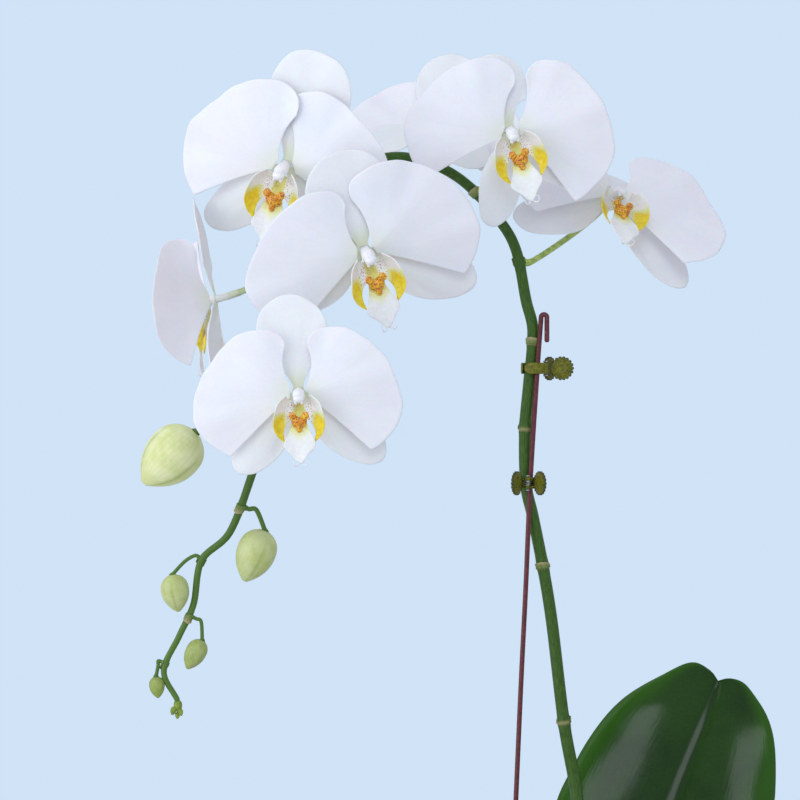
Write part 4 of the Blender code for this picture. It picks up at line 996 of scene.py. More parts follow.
lateral_fan = ((2.6, 0.6), (0.8, -2.5), (1.5, -1.0), 12.0, -12.0, -72.0)
petal_forward = {-1: 2.3, 1: 0.9}
sepal_behind, petal_droop, sepal_droop = -1.6, -2.5, -3.0
petal_wall, sepal_wall = 0.00062, 0.0007
flowers = {
    "F": dict(offset=(48.0, 20.0, 34.0), faces=(28, -27, -16), size=1.06,
              left=(10, 1.0, 0.95, 0), right=(-8, 1.08, 0.9, -14), dorsal=(0, 1.0, 0.9, 34),
              low_left=(10, 1.0, 0.9, 5), low_right=(5, 1.0, 1.0, 5)),
    "E": dict(offset=(15.5, -40.5, 27.5), faces=(4, 6, 16), size=1.01,
              left=(30, 0.95, 1.05, 0), right=(-22, 0.97, 1.08, 0), dorsal=(0, 0.75, 0.75, 5),
              low_left=(-26, 0.85, 0.85, 5), low_right=(-8, 0.8, 0.85, 5)),
    "G": dict(offset=(5.0, 57.5, 22.5), faces=(168, 40, 10), size=0.9,
              left=(0, 1.0, 1.0, 0), right=(0, 1.0, 1.0, 0), dorsal=(0, 1.0, 1.0, 5),
              low_left=(0, 1.0, 1.0, 5), low_right=(0, 1.0, 1.0, 5)),
    "B": dict(offset=(16.5, -46.0, -36.0), faces=(14, 14, 17), size=1.05,
              left=(3, 1.06, 1.0, 0), right=(12, 1.03, 1.1, 0), dorsal=(0, 1.05, 0.92, 2),
              low_left=(12, 0.9, 0.8, 5), low_right=(8, 1.05, 1.1, 5)),
    "A": dict(offset=(-13.0, -29.0, 16.5), faces=(-16, 16, -15), size=1.08,
              left=(14, 0.9, 1.08, 0), right=(18, 0.9, 1.04, 0), dorsal=(-8, 1.0, 1.06, 2),
              low_left=(-8, 0.9, 0.95, 5), low_right=(-10, 0.9, 0.9, 5)),
    "D": dict(offset=(-34.0, 8.0, 3.0), faces=(-92, 14, 3), size=1.0,
              left=(0, 1.0, 1.0, -14), right=(-4, 1.0, 1.0, -34), dorsal=(0, 1.0, 1.0, -2),
              low_left=(-16, 1.0, 1.0, -10), low_right=(-14, 1.0, 1.0, -12)),
    "C": dict(offset=(11.5, -53.5, -24.5), faces=(0, 4, 2), size=0.95,
              left=(-3, 1.0, 1.0, 0), right=(-1, 0.97, 1.0, 0), dorsal=(4, 0.92, 0.96, 5),
              low_left=(-10, 0.9, 0.95, 5), low_right=(0, 0.97, 1.0, 5)),
}


def blade(shape, edge, lines, rows, seed):
    """A flat blade: lines from its foot that bow out and end on its edge, which wavers a little."""
    foot_a, foot_b, middle, reach, bearing_a, bearing_b = shape
    rim = smooth_line(edge, lines)
    along = np.linspace(0, 1, lines + 1)
    phases = np.random.default_rng(seed + 40).uniform(0, 2 * pi, 3)
    waver = np.zeros(lines + 1)
    for (size, count), phase in zip(((0.011, 1.8), (0.008, 3.7), (0.004, 8.3)), phases):
        waver += size * np.sin(2 * pi * count * along + phase)
    rim = rim * (1 + waver * np.sin(pi * along) ** 0.5)[:, None]
    grid = np.zeros((lines + 1, rows + 1, 2))
    for i in range(lines + 1):
        share = i / lines
        foot = np.array(foot_a) * (1 - share) + np.array(foot_b) * share
        bearing = radians(bearing_a + (bearing_b - bearing_a) * share)
        bow = np.array(middle) + reach * np.array([cos(bearing), sin(bearing)])
        for j in range(rows + 1):
            t = j / rows
            grid[i, j] = (1 - t) ** 2 * foot + 2 * t * (1 - t) * bow + t * t * rim[i]
    return grid


def spun(grid, degrees, about):
    """The flat blade turned in its own plane."""
    c, s = cos(radians(degrees)), sin(radians(degrees))
    x, y = grid[..., 0] - about[0], grid[..., 1] - about[1]
    return np.stack([about[0] + c * x - s * y, about[1] + s * x + c * y], -1)


def leaned(points, axis, degrees, about):
    """Points turned about a line through a point."""
    line = np.array(axis, float) / np.linalg.norm(axis)
    c, s = cos(radians(degrees)), sin(radians(degrees))
    arm = points - np.array(about)
    along = (arm @ line)[..., None] * line
    return arm * c + np.cross(line, arm) * s + along * (1 - c) + np.array(about)


def eased(value, low, high):
    """A share from 0 to 1 between two ends, eased at both."""
    t = np.clip((value - low) / (high - low), 0, 1)
    return t * t * (3 - 2 * t)


def dressed(grid, start, droop, seed, dome, furrow, ruffle):
    """The flat blade with its depth: a creased, domed face, a furrow along it and a waved rim."""
    far = np.hypot(grid[..., 0], grid[..., 1])
    lines, rows = grid.shape[0] - 1, grid.shape[1] - 1
    s = np.linspace(0, 1, lines + 1)[:, None]
    t = np.linspace(0, 1, rows + 1)[None, :]
    pick = np.random.default_rng(seed)
    phases = pick.uniform(0, 2 * pi, 4)
    rim = eased(t, 0.45, 1.0)
    depth = start + droop * (far / 50) ** 2
    middle = 0.5 + 0.05 * np.sin(phases[3] + 2 * t)
    ridge = 1 - np.sqrt((2 * (s - middle)) ** 2 + 0.012)
    depth = depth + dome * np.sin(pi * np.clip(t * 1.02, 0, 1)) * np.clip(ridge, -0.05, 1)
    furrow_share = eased(t, 0.02, 0.3) * (1 - eased(t, 0.5, 0.98))
    depth = depth - furrow * np.exp(-(((s - middle) / 0.085) ** 2)) * furrow_share
    for number, (count, size) in enumerate(((1.7, 1.0), (3.4, 0.55), (6.3, 0.22))):
        depth = depth + ruffle * size * rim * np.sin(2 * pi * count * s + phases[number])
    return np.concatenate([grid, depth[..., None]], -1)


def thin_sheet(name, grids, thickness, matrix, closed_ring=False, marks=None):
    """One closed thin body from grids that share edges. Its UV runs across and outwards in each grid."""
    points, faces, uvs, values, rows_of = [], [], [], [], []
    for number, grid in enumerate(grids):
        across, out_rows = grid.shape[:2]
        start = len(points)
        rows_of.append((start, across, out_rows))
        points += [matrix @ Vector(p) for p in grid.reshape(-1, 3)]
        if marks is not None:
            values += list(marks[number].ravel())
        for i in range(across - 1):
            for k in range(out_rows - 1):
                a, b = start + i * out_rows + k, start + (i + 1) * out_rows + k
                faces.append((a, a + 1, b + 1, b))
                u0, u1 = number + i / (across - 1), number + (i + 1) / (across - 1)
                v0, v1 = k / (out_rows - 1), (k + 1) / (out_rows - 1)
                uvs += [(u0, v0), (u0, v1), (u1, v1), (u1, v0)]
    if closed_ring:
        for (this, across, out_rows), (after, *_) in zip(rows_of, rows_of[1:] + rows_of[:1]):
            last = this + (across - 1) * out_rows
            faces.append((last, last + 1, after + 1, after))
            uvs += [(0, 0), (0, 0.04), (0, 0.04), (0, 0)]
    shown = {"mark": values} if marks is not None else {}
    obj = bring(name, plain_mesh(name, points, faces, uvs, shown))
    wall = obj.modifiers.new("wall", "SOLIDIFY")
    wall.thickness = thickness
    wall.offset = 0
    fine = obj.modifiers.new("fine", "SUBSURF")
    fine.levels = 1
    fine.render_levels = 1
    return settled(obj)


veins, given, out = effect(
    "fan_of_veins",
    [("Surface", "NodeSocketVector", None), ("Count", "NodeSocketFloat", 20.0),
     ("Bump", "NodeSocketFloat", 0.2), ("Depth", "NodeSocketFloat", 0.0002),
     ("Under", "NodeSocketVector", None)],
    [("Mask", "NodeSocketFloat"), ("Normal", "NodeSocketVector"), ("Outwards", "NodeSocketFloat")],
)
across_out = node(veins, "ShaderNodeSeparateXYZ", {0: given["Surface"]})
wander = node(veins, "ShaderNodeTexNoise", {"Vector": given["Surface"], "Scale": 5.0, "Detail": 2.0})
shift = sums(veins, "ADD", times(veins, wander.outputs["Fac"], 0.05), 0.5)
crossing = times(veins, sums(veins, "ADD", across_out.outputs[0], shift), given["Count"])
main_veins = sums(veins, "SINE", times(veins, crossing, 2 * pi), 0.0)
fine_veins = sums(veins, "SINE", times(veins, crossing, 14.3), 0.0)
main_veins = spread(veins, main_veins, 0.45, 1.0)
fine_veins = spread(veins, fine_veins, 0.55, 1.0)
outwards = across_out.outputs[1]
fine_veins = times(veins, fine_veins, spread(veins, outwards, 0.25, 0.7))
both = sums(veins, "ADD", main_veins, times(veins, fine_veins, 0.6))
faded = times(veins, both, spread(veins, outwards, 1.0, 0.72))
veins.links.new(faded, out["Mask"])
veins.links.new(outwards, out["Outwards"])
furrowed = node(veins, "ShaderNodeBump", {"Strength": given["Bump"], "Distance": given["Depth"],
                                          "Height": faded, "Normal": given["Under"]})
veins.links.new(furrowed.outputs["Normal"], out["Normal"])


def petal_finish(name, white, shade, near_foot, vein):
    """Waxy petal tissue: sparkling cells, faint veins and a greener foot."""
    made, tree, shader = finish(name, white, 0.55, Subsurface_Weight=0.22, Subsurface_Scale=0.004,
                                Sheen_Weight=0.06, Sheen_Roughness=0.4, Specular_IOR_Level=0.3)
    place = own_place(tree)
    surface = own_uv(tree)
    cells = use(tree, mottling, {"Place": place, "Scale": 1400.0, "Detail": 2.0, "Dark": shade,
                                 "Light": white, "Bump": 0.12, "Depth": 0.00008})
    cloudy = use(tree, mottling, {"Place": place, "Scale": 60.0, "Detail": 3.0, "Dark": shade, "Light": white,
                                  "Bump": 0.1, "Depth": 0.0008})
    lines = use(tree, veins, {"Surface": surface, "Count": 11.0, "Bump": 0.04, "Depth": 0.0002,
                              "Under": cells["Normal"]})
    tissue = blended(tree, 0.5, cells["Colour"], cloudy["Colour"])
    tissue = blended(tree, times(tree, lines["Mask"], 0.06), tissue, vein)
    foot = spread(tree, lines["Outwards"], 0.42, 0.04)
    tissue = blended(tree, times(tree, foot, 0.6), tissue, near_foot)
    tree.links.new(tissue, shader.inputs["Base Color"])
    tree.links.new(lines["Normal"], shader.inputs["Normal"])
    tree.links.new(spread(tree, lines["Mask"], 0.0, 1.0, 0.52, 0.64), shader.inputs["Roughness"])
    return made


petal_white = petal_finish("petal_white", colour(247, 246, 251), colour(241, 240, 248), colour(232, 238, 222),
                           colour(228, 229, 240))
sepal_white = petal_finish("sepal_white", colour(243, 245, 247), colour(236, 239, 242), colour(214, 226, 182),
                           colour(222, 228, 226))


mm = 0.001


def flower_frame(letter):
    """The matrix from a flower's own frame in millimetres to its place."""
    pose = flowers[letter]
    yaw, pitch, roll = (radians(angle) for angle in pose["faces"])
    upright = Matrix(((1, 0, 0), (0, 0, -1), (0, 1, 0)))
    faced = Matrix.Rotation(yaw, 3, "Z") @ Matrix.Rotation(pitch, 3, "X") @ upright
    turn = faced @ Matrix.Rotation(roll, 3, "Z")
    middle = spike_at(joins[letter]) + Vector(pose["offset"]) * mm
    return Matrix.Translation(middle) @ turn.to_4x4() @ Matrix.Scale(pose["size"] * mm, 4)


for letter, pose in flowers.items():
    matrix = flower_frame(letter)
    seed = ord(letter)
    for side, word in ((-1, "left"), (1, "right")):
        lift, wide, tall, back = pose[word]
        flat = blade(petal_fan, np.array(petal_edge) * (wide, tall), 44, 26, seed * 7 + side)
        flat = spun(flat, lift, (4, 0)) * np.array([side, 1])
        start = petal_forward[side]
        solid = dressed(flat, start, petal_droop, seed * 2 + side, dome=2.6, furrow=0.0, ruffle=0.95)
        solid = leaned(solid, (0, side, 0), back, (side * 4, 0, start))
        piece = thin_sheet(f"flower_{letter}_{word}_petal", [solid], petal_wall, matrix)
        fit(piece, petal_white, "petal_white", "plant", f"flower_{letter}_petal_{word}")
    turn, wide, tall, back = pose["dorsal"]
    flat = spun(blade(dorsal_fan, np.array(dorsal_edge) * (wide, tall), 26, 26, seed * 11), turn, (0, 0))
    solid = dressed(flat, sepal_behind, sepal_droop, seed * 3, dome=1.5, furrow=0.4, ruffle=0.5)
    grids = [leaned(solid, (-1, 0, 0), back, (0, 2, sepal_behind))]
    for side, key in ((1, "low_right"), (-1, "low_left")):
        turn, wide, tall, back = pose[key]
        flat = blade(lateral_fan, np.array(lateral_edge) * (wide, tall), 26, 26, seed * 13 + side)
        flat = spun(flat, turn, (1.5, -1)) * np.array([side, 1])
        solid = dressed(flat, sepal_behind, sepal_droop, seed * 5 + side, dome=1.4, furrow=0.4, ruffle=0.5)
        solid = leaned(solid, (0.6, side * 0.8, 0), back, (side * 1.5, -1, sepal_behind))
        grids.append(solid if side > 0 else solid[::-1])
    piece = thin_sheet(f"flower_{letter}_sepals", grids, sepal_wall, matrix, closed_ring=True)
    fit(piece, sepal_white, "petal_white", "plant", f"flower_{letter}_calyx")


# ---- Flowers: lips ----
# The third petal, folded into a lip: two upright side lobes with yellow lower edges, a horned orange callus
# with red-brown specks between them, and an arrow-shaped tongue that ends in two curled tendrils.
lip_foot = [(2.2, -4, 2.5), (2.6, -8, 4.5), (3.0, -12, 7)]
lip_side_bow = [(7, -3, 4), (10.5, -9, 5.5), (10, -16, 8)]
lip_side_edge = [(5, -0.5, 9), (9.5, -4, 13), (12, -10, 14.5), (13, -16, 13.5), (11, -21, 12), (7, -24.5, 11)]
lip_lines, lip_rows, lip_wall = 22, 14, 0.0006
tongue_bow = [(-5, -19, 11), (5, -19, 11)]
curl_points = [
    (0.56, -33.2, 12.5), (1.2, -34.64, 13.06), (2.4, -35.12, 14.34), (3.36, -34.0, 15.3),
    (3.44, -32.56, 15.14), (2.72, -32.08, 14.42),
]
tongue_edge = [
    (-6.5, -21.5, 12), (-8, -25.5, 12.5), (-4, -30, 13), (0, -34.5, 12.5), (4, -30, 13), (8, -25.5, 12.5),
    (6.5, -21.5, 12),
]


def bowed(foot, bow, edge, lines, rows):
    """Lines in space from a foot that bow out and end on an edge."""
    foot, bow, edge = (smooth_line(points, lines) for points in (foot, bow, edge))
    grid = np.zeros((lines + 1, rows + 1, 3))
    for j in range(rows + 1):
        t = j / rows
        grid[:, j] = (1 - t) ** 2 * foot + 2 * t * (1 - t) * bow + t * t * edge
    return grid


lip_skin, tree, shader = finish("lip_white_and_yellow", colour(244, 245, 246), 0.42, Subsurface_Weight=0.2,
                                Subsurface_Scale=0.003, Coat_Weight=0.1)
place = own_place(tree)
surface = own_uv(tree)
gold = marked(tree, "mark")
cells = use(tree, mottling, {"Place": place, "Scale": 500.0, "Detail": 2.0, "Dark": colour(240, 241, 240),
                             "Light": colour(247, 248, 248), "Bump": 0.04, "Depth": 0.0001})
lines = use(tree, veins, {"Surface": surface, "Count": 9.0, "Bump": 0.1, "Depth": 0.0002,
                          "Under": cells["Normal"]})
egg = use(tree, mottling, {"Place": place, "Scale": 500.0, "Detail": 2.0, "Dark": colour(232, 204, 30),
                           "Light": colour(246, 226, 56), "Bump": 0.0, "Depth": 0.0})
lime = blended(tree, spread(tree, gold, 0.04, 0.45), cells["Colour"], colour(232, 236, 160))
painted = blended(tree, spread(tree, gold, 0.4, 0.85), lime, egg["Colour"])
blood = use(tree, specks, {"Place": place, "Scale": 1150.0, "Size": 0.34})
near_foot = spread(tree, lines["Outwards"], 0.6, 0.15)
dotted = times(tree, times(tree, blood["Mask"], near_foot), 0.75)
tree.links.new(blended(tree, dotted, painted, colour(164, 74, 40)), shader.inputs["Base Color"])
tree.links.new(lines["Normal"], shader.inputs["Normal"])

callus_skin, tree, shader = finish("callus_orange", colour(232, 160, 22), 0.3, Subsurface_Weight=0.2,
                                   Subsurface_Scale=0.002, Coat_Weight=0.4)
place = own_place(tree)
wax = use(tree, mottling, {"Place": place, "Scale": 420.0, "Detail": 3.0, "Dark": colour(222, 138, 16),
                           "Light": colour(246, 196, 40), "Bump": 0.3, "Depth": 0.0003})
blood = use(tree, specks, {"Place": place, "Scale": 1100.0, "Size": 0.44})
tree.links.new(blended(tree, times(tree, blood["Mask"], 0.85), wax["Colour"], colour(150, 58, 30)),
               shader.inputs["Base Color"])
tree.links.new(wax["Normal"], shader.inputs["Normal"])


def knob(centre, reach, around=18, rows=12, dent=0.0):
    """A rounded lump in a flower's own frame, with a dent down its middle if asked."""
    rings = []
    for i in range(rows + 1):
        up = pi * (i + 0.2) / (rows + 0.4)
        ring = []
        for k in range(around):
            turn = 2 * pi * k / around
            x, z = sin(up) * cos(turn), sin(up) * sin(turn)
            y = cos(up)
            squeeze = 1 - dent * np.exp(-((x / 0.35) ** 2)) * max(0.0, y)
            ring.append((centre[0] + reach[0] * x, centre[1] + reach[1] * y * squeeze,
                         centre[2] + reach[2] * z))
        rings.append(ring)
    return rings


for letter in flowers:
    matrix = flower_frame(letter)
    grids, marks, feet = [], [], {}
    s = np.linspace(0, 1, lip_lines + 1)[:, None]
    t = np.linspace(0, 1, lip_rows + 1)[None, :]
    for side in (1, -1):
        mirror = np.array([side, 1, 1])
        foot, bow, edge = (np.array(points) * mirror for points in (lip_foot, lip_side_bow, lip_side_edge))
        grid = bowed(foot, bow, edge, lip_lines, lip_rows)
        grid[..., 2] += 0.35 * np.sin(7 * s + ord(letter)) * t**2
        grid[..., 0] += side * 0.5 * np.sin(5 * s + 1) * t**2
        grids.append(grid)
        low = eased(s, 0.36, 0.7) * eased(t, 0.1, 0.6)
        marks.append(np.maximum(low, 0.75 * eased(s, 0.3, 0.6) * eased(t, 0.84, 0.95)))
        feet[side] = smooth_line(foot, lip_lines)
    floor_grid = feet[-1][:, None, :] * (1 - s[None, :, :]) + feet[1][:, None, :] * s[None, :, :]
    floor_grid[..., 2] -= 0.9 * np.sin(pi * s.T) * np.sin(pi * s)
    grids.append(floor_grid)
    marks.append(np.full(floor_grid.shape[:2], 0.55))
    tongue = bowed([floor_grid[-1][0], floor_grid[-1][-1]], tongue_bow, tongue_edge, lip_lines, lip_rows)
    tongue[..., 2] += 1.1 * np.exp(-(((s - 0.5) / 0.16) ** 2)) * eased(t, 0.0, 0.4) * (1 - 0.4 * t)
    tongue[..., 2] += 0.5 * np.sin(4 * pi * s) * t**3
    grids.append(tongue)
    marks.append(np.tile(0.66 * (1 - eased(t, 0.1, 0.8)), (lip_lines + 1, 1)))
    piece = thin_sheet(f"flower_{letter}_lip_lobes", grids, lip_wall, matrix, marks=marks)
    fit(piece, lip_skin, "lip_white_yellow", "plant", f"flower_{letter}_lip")
    curls = []
    for side in (1, -1):
        line = smooth_line(np.array(curl_points) * (side, 1, 1), 26)
        line, radii = capped(line, 0.42 * np.linspace(1, 0.45, 27), 3)
        curls.append(tube("curl", line, radii, 8))
    tendrils = bring(f"flower_{letter}_tendrils", merged("tendrils", curls, matrix))
    fit(tendrils, sepal_white, "lip_white_yellow", "plant", f"flower_{letter}_lip")
    lumps = [ringed("callus", knob((0, -13.4, 9.8), (3.9, 3.6, 2.8), dent=0.5)),
             ringed("callus", knob((3.2, -10.8, 11.2), (1.8, 2.0, 1.6))),
             ringed("callus", knob((-3.2, -10.8, 11.2), (1.8, 2.0, 1.6))),
             ringed("callus", knob((0, -17.0, 10.7), (1.5, 2.2, 1.5)))]
    callus = bring(f"flower_{letter}_callus", merged("callus", lumps, matrix))
    fit(callus, callus_skin, "lip_white_yellow", "plant", f"flower_{letter}_lip")


# ---- Flowers: columns ----
# The white column in the middle ends in a rounded anther cap over a small hollow, drawn as a buff lump whose
# darker colour is partly the stigma's own, partly painted shade. Behind the flower it runs on as a green,
# faintly ribbed pedicel to the spike.
column_skin, tree, shader = finish("column_white", colour(242, 243, 244), 0.42, Subsurface_Weight=0.2,
                                   Subsurface_Scale=0.003, Coat_Weight=0.15)
place = own_place(tree)
stalk = marked(tree, "stalk")
flesh = use(tree, mottling, {"Place": place, "Scale": 700.0, "Detail": 3.0, "Dark": colour(240, 241, 244),
                             "Light": colour(248, 248, 250), "Bump": 0.04, "Depth": 0.0001})
reed = use(tree, mottling, {"Place": place, "Scale": 300.0, "Detail": 4.0, "Dark": colour(134, 166, 66),
                            "Light": colour(184, 206, 112), "Bump": 0.2, "Depth": 0.0002})
tree.links.new(blended(tree, stalk, flesh["Colour"], reed["Colour"]), shader.inputs["Base Color"])
tree.links.new(flesh["Normal"], shader.inputs["Normal"])
# The stigma lump under the cap is coloured a darker buff: partly the stigma's own colour, partly painted
# shade of the hollow.
hollow_shade_skin, tree, shader = finish("stigma_hollow_shade", colour(214, 196, 150), 0.35, Coat_Weight=0.5)
place = own_place(tree)
sticky_and_shade = use(tree, mottling, {"Place": place, "Scale": 900.0, "Detail": 3.0, "Dark": colour(196, 164, 110),
                              "Light": colour(228, 214, 174), "Bump": 0.2, "Depth": 0.0001})
tree.links.new(sticky_and_shade["Colour"], shader.inputs["Base Color"])
pedicel_radius = 0.0015
column = [(9.6, -3.0, 1.9), (8.2, -2.2, 3.1), (5.0, -0.6, 2.7), (1.8, 0.0, 2.0), (-2.0, 0.0, 1.6),
          (-7.0, 0.0, 1.7), (-12.0, 0.4, 1.7)]
for letter, pose in flowers.items():
    matrix = flower_frame(letter)
    unit = pose["size"] * mm
    joint = spike_at(joins[letter])
    back = matrix @ Vector((0, column[-1][1], column[-1][0]))
    growing = spike_way(joins[letter])
    out_way = back - joint
    out_way = (out_way - growing * out_way.dot(growing)).normalized()
    start = joint + out_way * (spike_thick(joins[letter]) - 0.0004)
    near = start + out_way * 0.0065
    behind = matrix @ Vector((0, column[-1][1], column[-1][0] - 0.009 / unit))
    world = [back, behind, near, start]
    if (near - behind).length > 0.012:
        world.insert(2, (behind + near) / 2 + out_way * 0.002)
    stem = smooth_line(world, 60)
    front = [tuple(matrix @ Vector((0, up, forward))) for forward, up, _ in column]
    front_line = smooth_line(front, 40)
    front_radii = np.interp(np.linspace(0, 1, 41), np.linspace(0, 1, 7), [r * unit for _, _, r in column])
    line = np.vstack([front_line, stem[1:]])
    narrowing = np.linspace(front_radii[-1], pedicel_radius, 8)
    radii = np.concatenate([front_radii, narrowing, np.full(52, pedicel_radius)])
    radii[-6:] *= np.linspace(1.0, 1.35, 6)
    stalks = np.concatenate([np.zeros(22), np.linspace(0, 0.55, 19), np.linspace(0.6, 1.0, 20), np.ones(40)])
    line, radii = capped(line, radii)
    stalks = np.concatenate([np.zeros(5), stalks, np.ones(5)])
    body = tube("column", line, radii, 24, {"stalk": stalks}, squash=lambda turn: 1 + 0.045 * cos(6 * turn))
    column_node = f"flower_{letter}_column"
    fit(bring(f"flower_{letter}_column_stalk", body), column_skin, "column_white", "plant", column_node)
    caps = [ringed("cap", knob((0, -2.5, 9.1), (2.8, 2.2, 2.3), dent=0.2)),
            ringed("cap", knob((1.5, -4.2, 9.2), (0.9, 1.3, 1.2))),
            ringed("cap", knob((-1.5, -4.2, 9.2), (0.9, 1.3, 1.2)))]
    cap = merged("cap", caps, matrix)
    fit(bring(f"flower_{letter}_anther_cap", cap), column_skin, "column_white", "plant", column_node)
    # The stigma lump carries the painted shade of the hollow under the cap.
    stigma = merged("stigma", [ringed("stigma", knob((0, -4.9, 7.6), (1.7, 1.0, 1.5)))], matrix)
    fit(bring(f"flower_{letter}_stigma", stigma), hollow_shade_skin, "column_white", "plant", column_node)


# ---- Buds ----
# Closed flowers at the tip of the spike, pale yellow-green. Three sepals meet edge to edge in seams that run
# from the pedicel to the pointed end.
bud_skin, tree, shader = finish("bud_green", colour(200, 216, 142), 0.48, Subsurface_Weight=0.15,
                                Subsurface_Scale=0.003, Coat_Weight=0.1)
place = own_place(tree)
surface = own_uv(tree)
seam = marked(tree, "seam")
ripe = marked(tree, "ripe")
stretch = node(tree, "ShaderNodeMapping", {"Vector": surface, "Scale": (1.0, 0.02, 1.0)}).outputs[0]
lines = use(tree, veins, {"Surface": stretch, "Count": 30.0, "Bump": 0.16, "Depth": 0.0002})
pale = use(tree, mottling, {"Place": place, "Scale": 110.0, "Detail": 4.0, "Dark": colour(214, 224, 150),
                            "Light": colour(234, 240, 186), "Bump": 0.12, "Depth": 0.0005})
small = use(tree, mottling, {"Place": place, "Scale": 400.0, "Detail": 4.0, "Dark": colour(106, 134, 32),
                             "Light": colour(142, 164, 50), "Bump": 0.2, "Depth": 0.0003})
skin = blended(tree, ripe, small["Colour"], pale["Colour"])
skin = blended(tree, times(tree, lines["Mask"], 0.12), skin, colour(160, 184, 96))
skin = blended(tree, times(tree, seam, 0.6), skin, colour(150, 172, 86))
tree.links.new(skin, shader.inputs["Base Color"])
tree.links.new(pale["Normal"], shader.inputs["Normal"])
buds = {
    "bud_1": dict(stem=(-13, 1, 1), neck=(-35, 0, -7), tip=(-60, 0, -31.5), radius=13.6, ripe=1.0),
    "bud_2": dict(stem=(7.5, 0, -2), neck=(11.5, 1, -12), tip=(1.5, 1, -36.5), radius=9.6, ripe=0.66),
    "bud_3": dict(stem=(-8.5, 0, -1), neck=(-14.5, 0, -7.5), tip=(-11.5, 0, -25.5), radius=6.9, ripe=0.6),
    "bud_4": dict(stem=(5.8, 0, -3), neck=(6.3, 0, -12), tip=(-1, 0, -26), radius=5.2, ripe=0.3),
    "bud_5": dict(stem=(-3.6, 0, -1.2), neck=(-4.6, 0, -6.5), tip=(-3.6, 0, -17), radius=3.8, ripe=0.15),
}
bud_form = [(0.0, 0.26), (0.07, 0.62), (0.2, 0.90), (0.38, 1.0), (0.58, 0.94), (0.76, 0.72), (0.9, 0.42),
            (1.0, 0.12)]


def bud_mesh(neck, tip, width, ripe, spin):
    """A closed bud from neck to tip with three seams and a keel on each sepal."""
    form = smooth_line(bud_form, 120)
    way = (tip - neck).normalized()
    first = way.cross(Vector((0.1, 1, 0.05))).normalized()
    second = way.cross(first)
    rings, seams = [], []
    for share in np.linspace(0.0, 1.0, 40):
        reach = float(np.interp(share, form[:, 0], form[:, 1])) * width
        ring, row = [], []
        for k in range(60):
            turn = 2 * pi * k / 60
            apart = (turn - spin) % (2 * pi / 3)
            apart = min(apart, 2 * pi / 3 - apart)
            groove = np.exp(-((apart / 0.085) ** 2)) * eased(share, 0.08, 0.5)
            keel = np.exp(-(((pi / 3 - apart) / 0.35) ** 2))
            r = reach * (1 - 0.05 * groove + 0.022 * keel * eased(share, 0.3, 0.9))
            ring.append(neck.lerp(tip, share) + (first * cos(turn) + second * sin(turn)) * r)
            row.append(groove)
        rings.append(ring)
        seams.append(row)
    return ringed("bud", rings, {"seam": seams, "ripe": np.full(40, ripe)})


for number, (name, bud) in enumerate(buds.items()):
    joint, thick, width = spike_at(joins[name]), spike_thick(joins[name]), bud["radius"] * mm
    first_point = Vector(bud["stem"]) * mm
    growing = spike_way(joins[name])
    out_way = (first_point - growing * first_point.dot(growing)).normalized()
    neck, tip = joint + Vector(bud["neck"]) * mm, joint + Vector(bud["tip"]) * mm
    start = joint + out_way * (thick - 0.0004)
    aim = (tip - neck).normalized()
    way = [start, start + out_way * 0.0026, joint + first_point, neck, neck + aim * width * 0.1]
    line = smooth_line(way, 50)
    stalk_radius = max(width * 0.12, 0.0009)
    radii = np.full(51, stalk_radius)
    radii[:6] *= np.linspace(1.4, 1.0, 6)
    radii[-8:] *= np.linspace(1.0, 1.9, 8)
    line, radii = capped(line, radii)
    zeros = np.zeros(len(line))
    stem = tube("bud_stem", line, radii, 18, {"scar": zeros, "young": zeros + 0.9})
    fit(bring(name + "_stalk", stem), stem_skin, "bud_green", "plant", name)
    made = bud_mesh(neck, tip, width, bud["ripe"], 0.6 + 0.5 * number)
    fit(bring(name + "_closed", made), bud_skin, "bud_green", "plant", name)
end = spike_at(1.0)
cluster = []
tiny_buds = [((0.4, 0.3, -3.4), 2.7, 0.3), ((-1.9, -0.4, -5.6), 1.9, 1.4), ((1.7, -0.5, -6.2), 1.7, 2.2),
             ((0.1, 0.6, -8.0), 1.5, 0.9)]
for centre, reach, turn in tiny_buds:
    middle = end + Vector(centre) * mm
    fall = Vector((centre[0] * 0.15, 0, -1)).normalized() * reach * mm
    cluster.append(bud_mesh(middle - fall * 1.2, middle + fall * 1.1, 0.78 * reach * mm, 0.0, turn))
fit(bring("tip_bud_cluster", merged("tip_buds", cluster, Matrix.Identity(4))), bud_skin, "bud_green", "plant",
    "tip_buds")


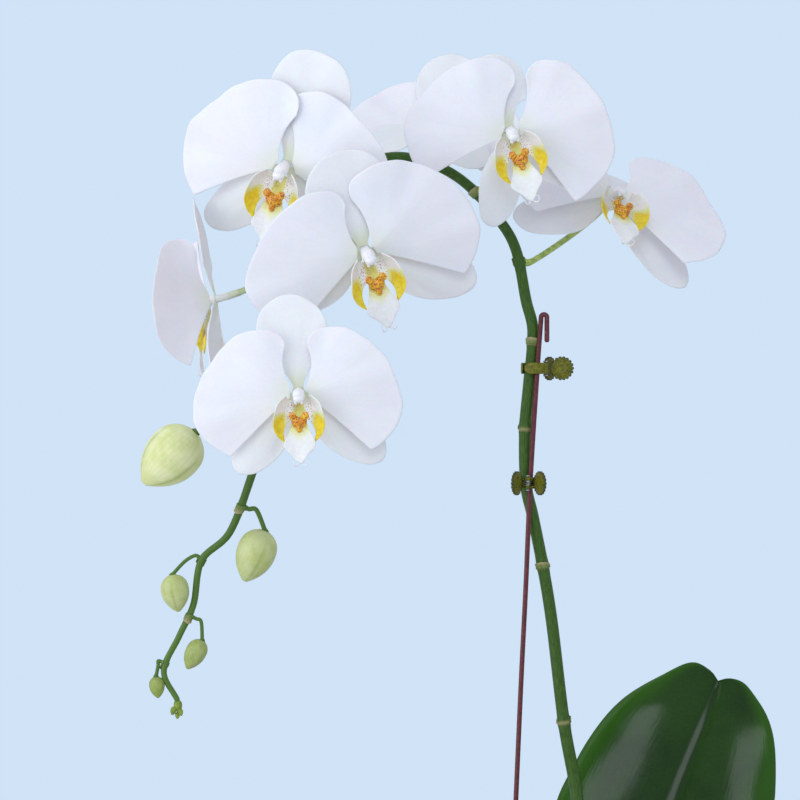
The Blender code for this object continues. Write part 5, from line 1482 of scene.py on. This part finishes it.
# ---- Studio ----
# A plain pale floor under the pot, a pale blue surround and large soft lamps.
floor_mesh = bpy.data.meshes.new("floor")
floor_mesh.from_pydata([(-1.3, -1.3, 0), (1.3, -1.3, 0), (1.3, 1.3, 0), (-1.3, 1.3, 0)], [], [(0, 1, 2, 3)])
floor = bring("floor", floor_mesh)
floor_skin, tree, shader = finish("floor_paint", colour(230, 231, 232), 0.7)
place = own_place(tree)
faint = use(tree, mottling, {"Place": place, "Scale": 3.0, "Detail": 2.0, "Dark": colour(227, 229, 230),
                             "Light": colour(233, 234, 234), "Bump": 0.0, "Depth": 0.0})
tree.links.new(faint["Colour"], shader.inputs["Base Color"])
floor.data.materials.append(floor_skin)

sky = bpy.data.worlds.new("studio")
sky.use_nodes = True
tree = sky.node_tree
backdrop = tree.nodes["Background"]
backdrop.inputs[0].default_value = colour(208, 227, 247)
soft = node(tree, "ShaderNodeBackground", {0: (0.86, 0.88, 1.0, 1.0), 1: 0.69})
seen = node(tree, "ShaderNodeLightPath").outputs["Is Camera Ray"]
both = node(tree, "ShaderNodeMixShader", {0: seen})
tree.links.new(soft.outputs[0], both.inputs[1])
tree.links.new(backdrop.outputs[0], both.inputs[2])
tree.links.new(both.outputs[0], tree.nodes["World Output"].inputs[0])
bpy.context.scene.world = sky


def lamp(name, spot, aim, size, watts, tint):
    """A large soft lamp that faces a point."""
    made = bpy.data.objects.new(name, bpy.data.lights.new(name, "AREA"))
    made.data.size = size
    made.data.energy = watts
    made.data.color = tint
    made.location = spot
    made.rotation_euler = (Vector(aim) - Vector(spot)).to_track_quat("-Z", "Y").to_euler()
    bpy.context.scene.collection.objects.link(made)


# A wide lamp at the left, a smaller one high in front that shows as the gloss on the leaves, and a top lamp.
lamp("window_lamp", (-1.3, -0.75, 0.42), (-0.12, 0, 0.42), size=1.5, watts=9.0, tint=(1.0, 0.99, 0.99))
lamp("gloss_lamp", (-0.03, -0.99, 0.99), (0.05, 0.05, 0.245), size=0.46, watts=2.3, tint=(0.90, 0.96, 1.0))
lamp("top_lamp", (-0.9, 0.1, 1.35), (-0.1, 0, 0.4), size=0.8, watts=1.2, tint=(1.0, 1.0, 1.0))

camera = bpy.data.objects.new("camera", bpy.data.cameras.new("camera"))
camera.location = (-0.0875, -1.6, 0.425)
camera.rotation_euler = (pi / 2, 0, 0)
camera.data.lens = 144
camera.data.sensor_width = 36
bpy.context.scene.collection.objects.link(camera)
bpy.context.scene.camera = camera
bpy.context.scene.view_settings.view_transform = "Standard"
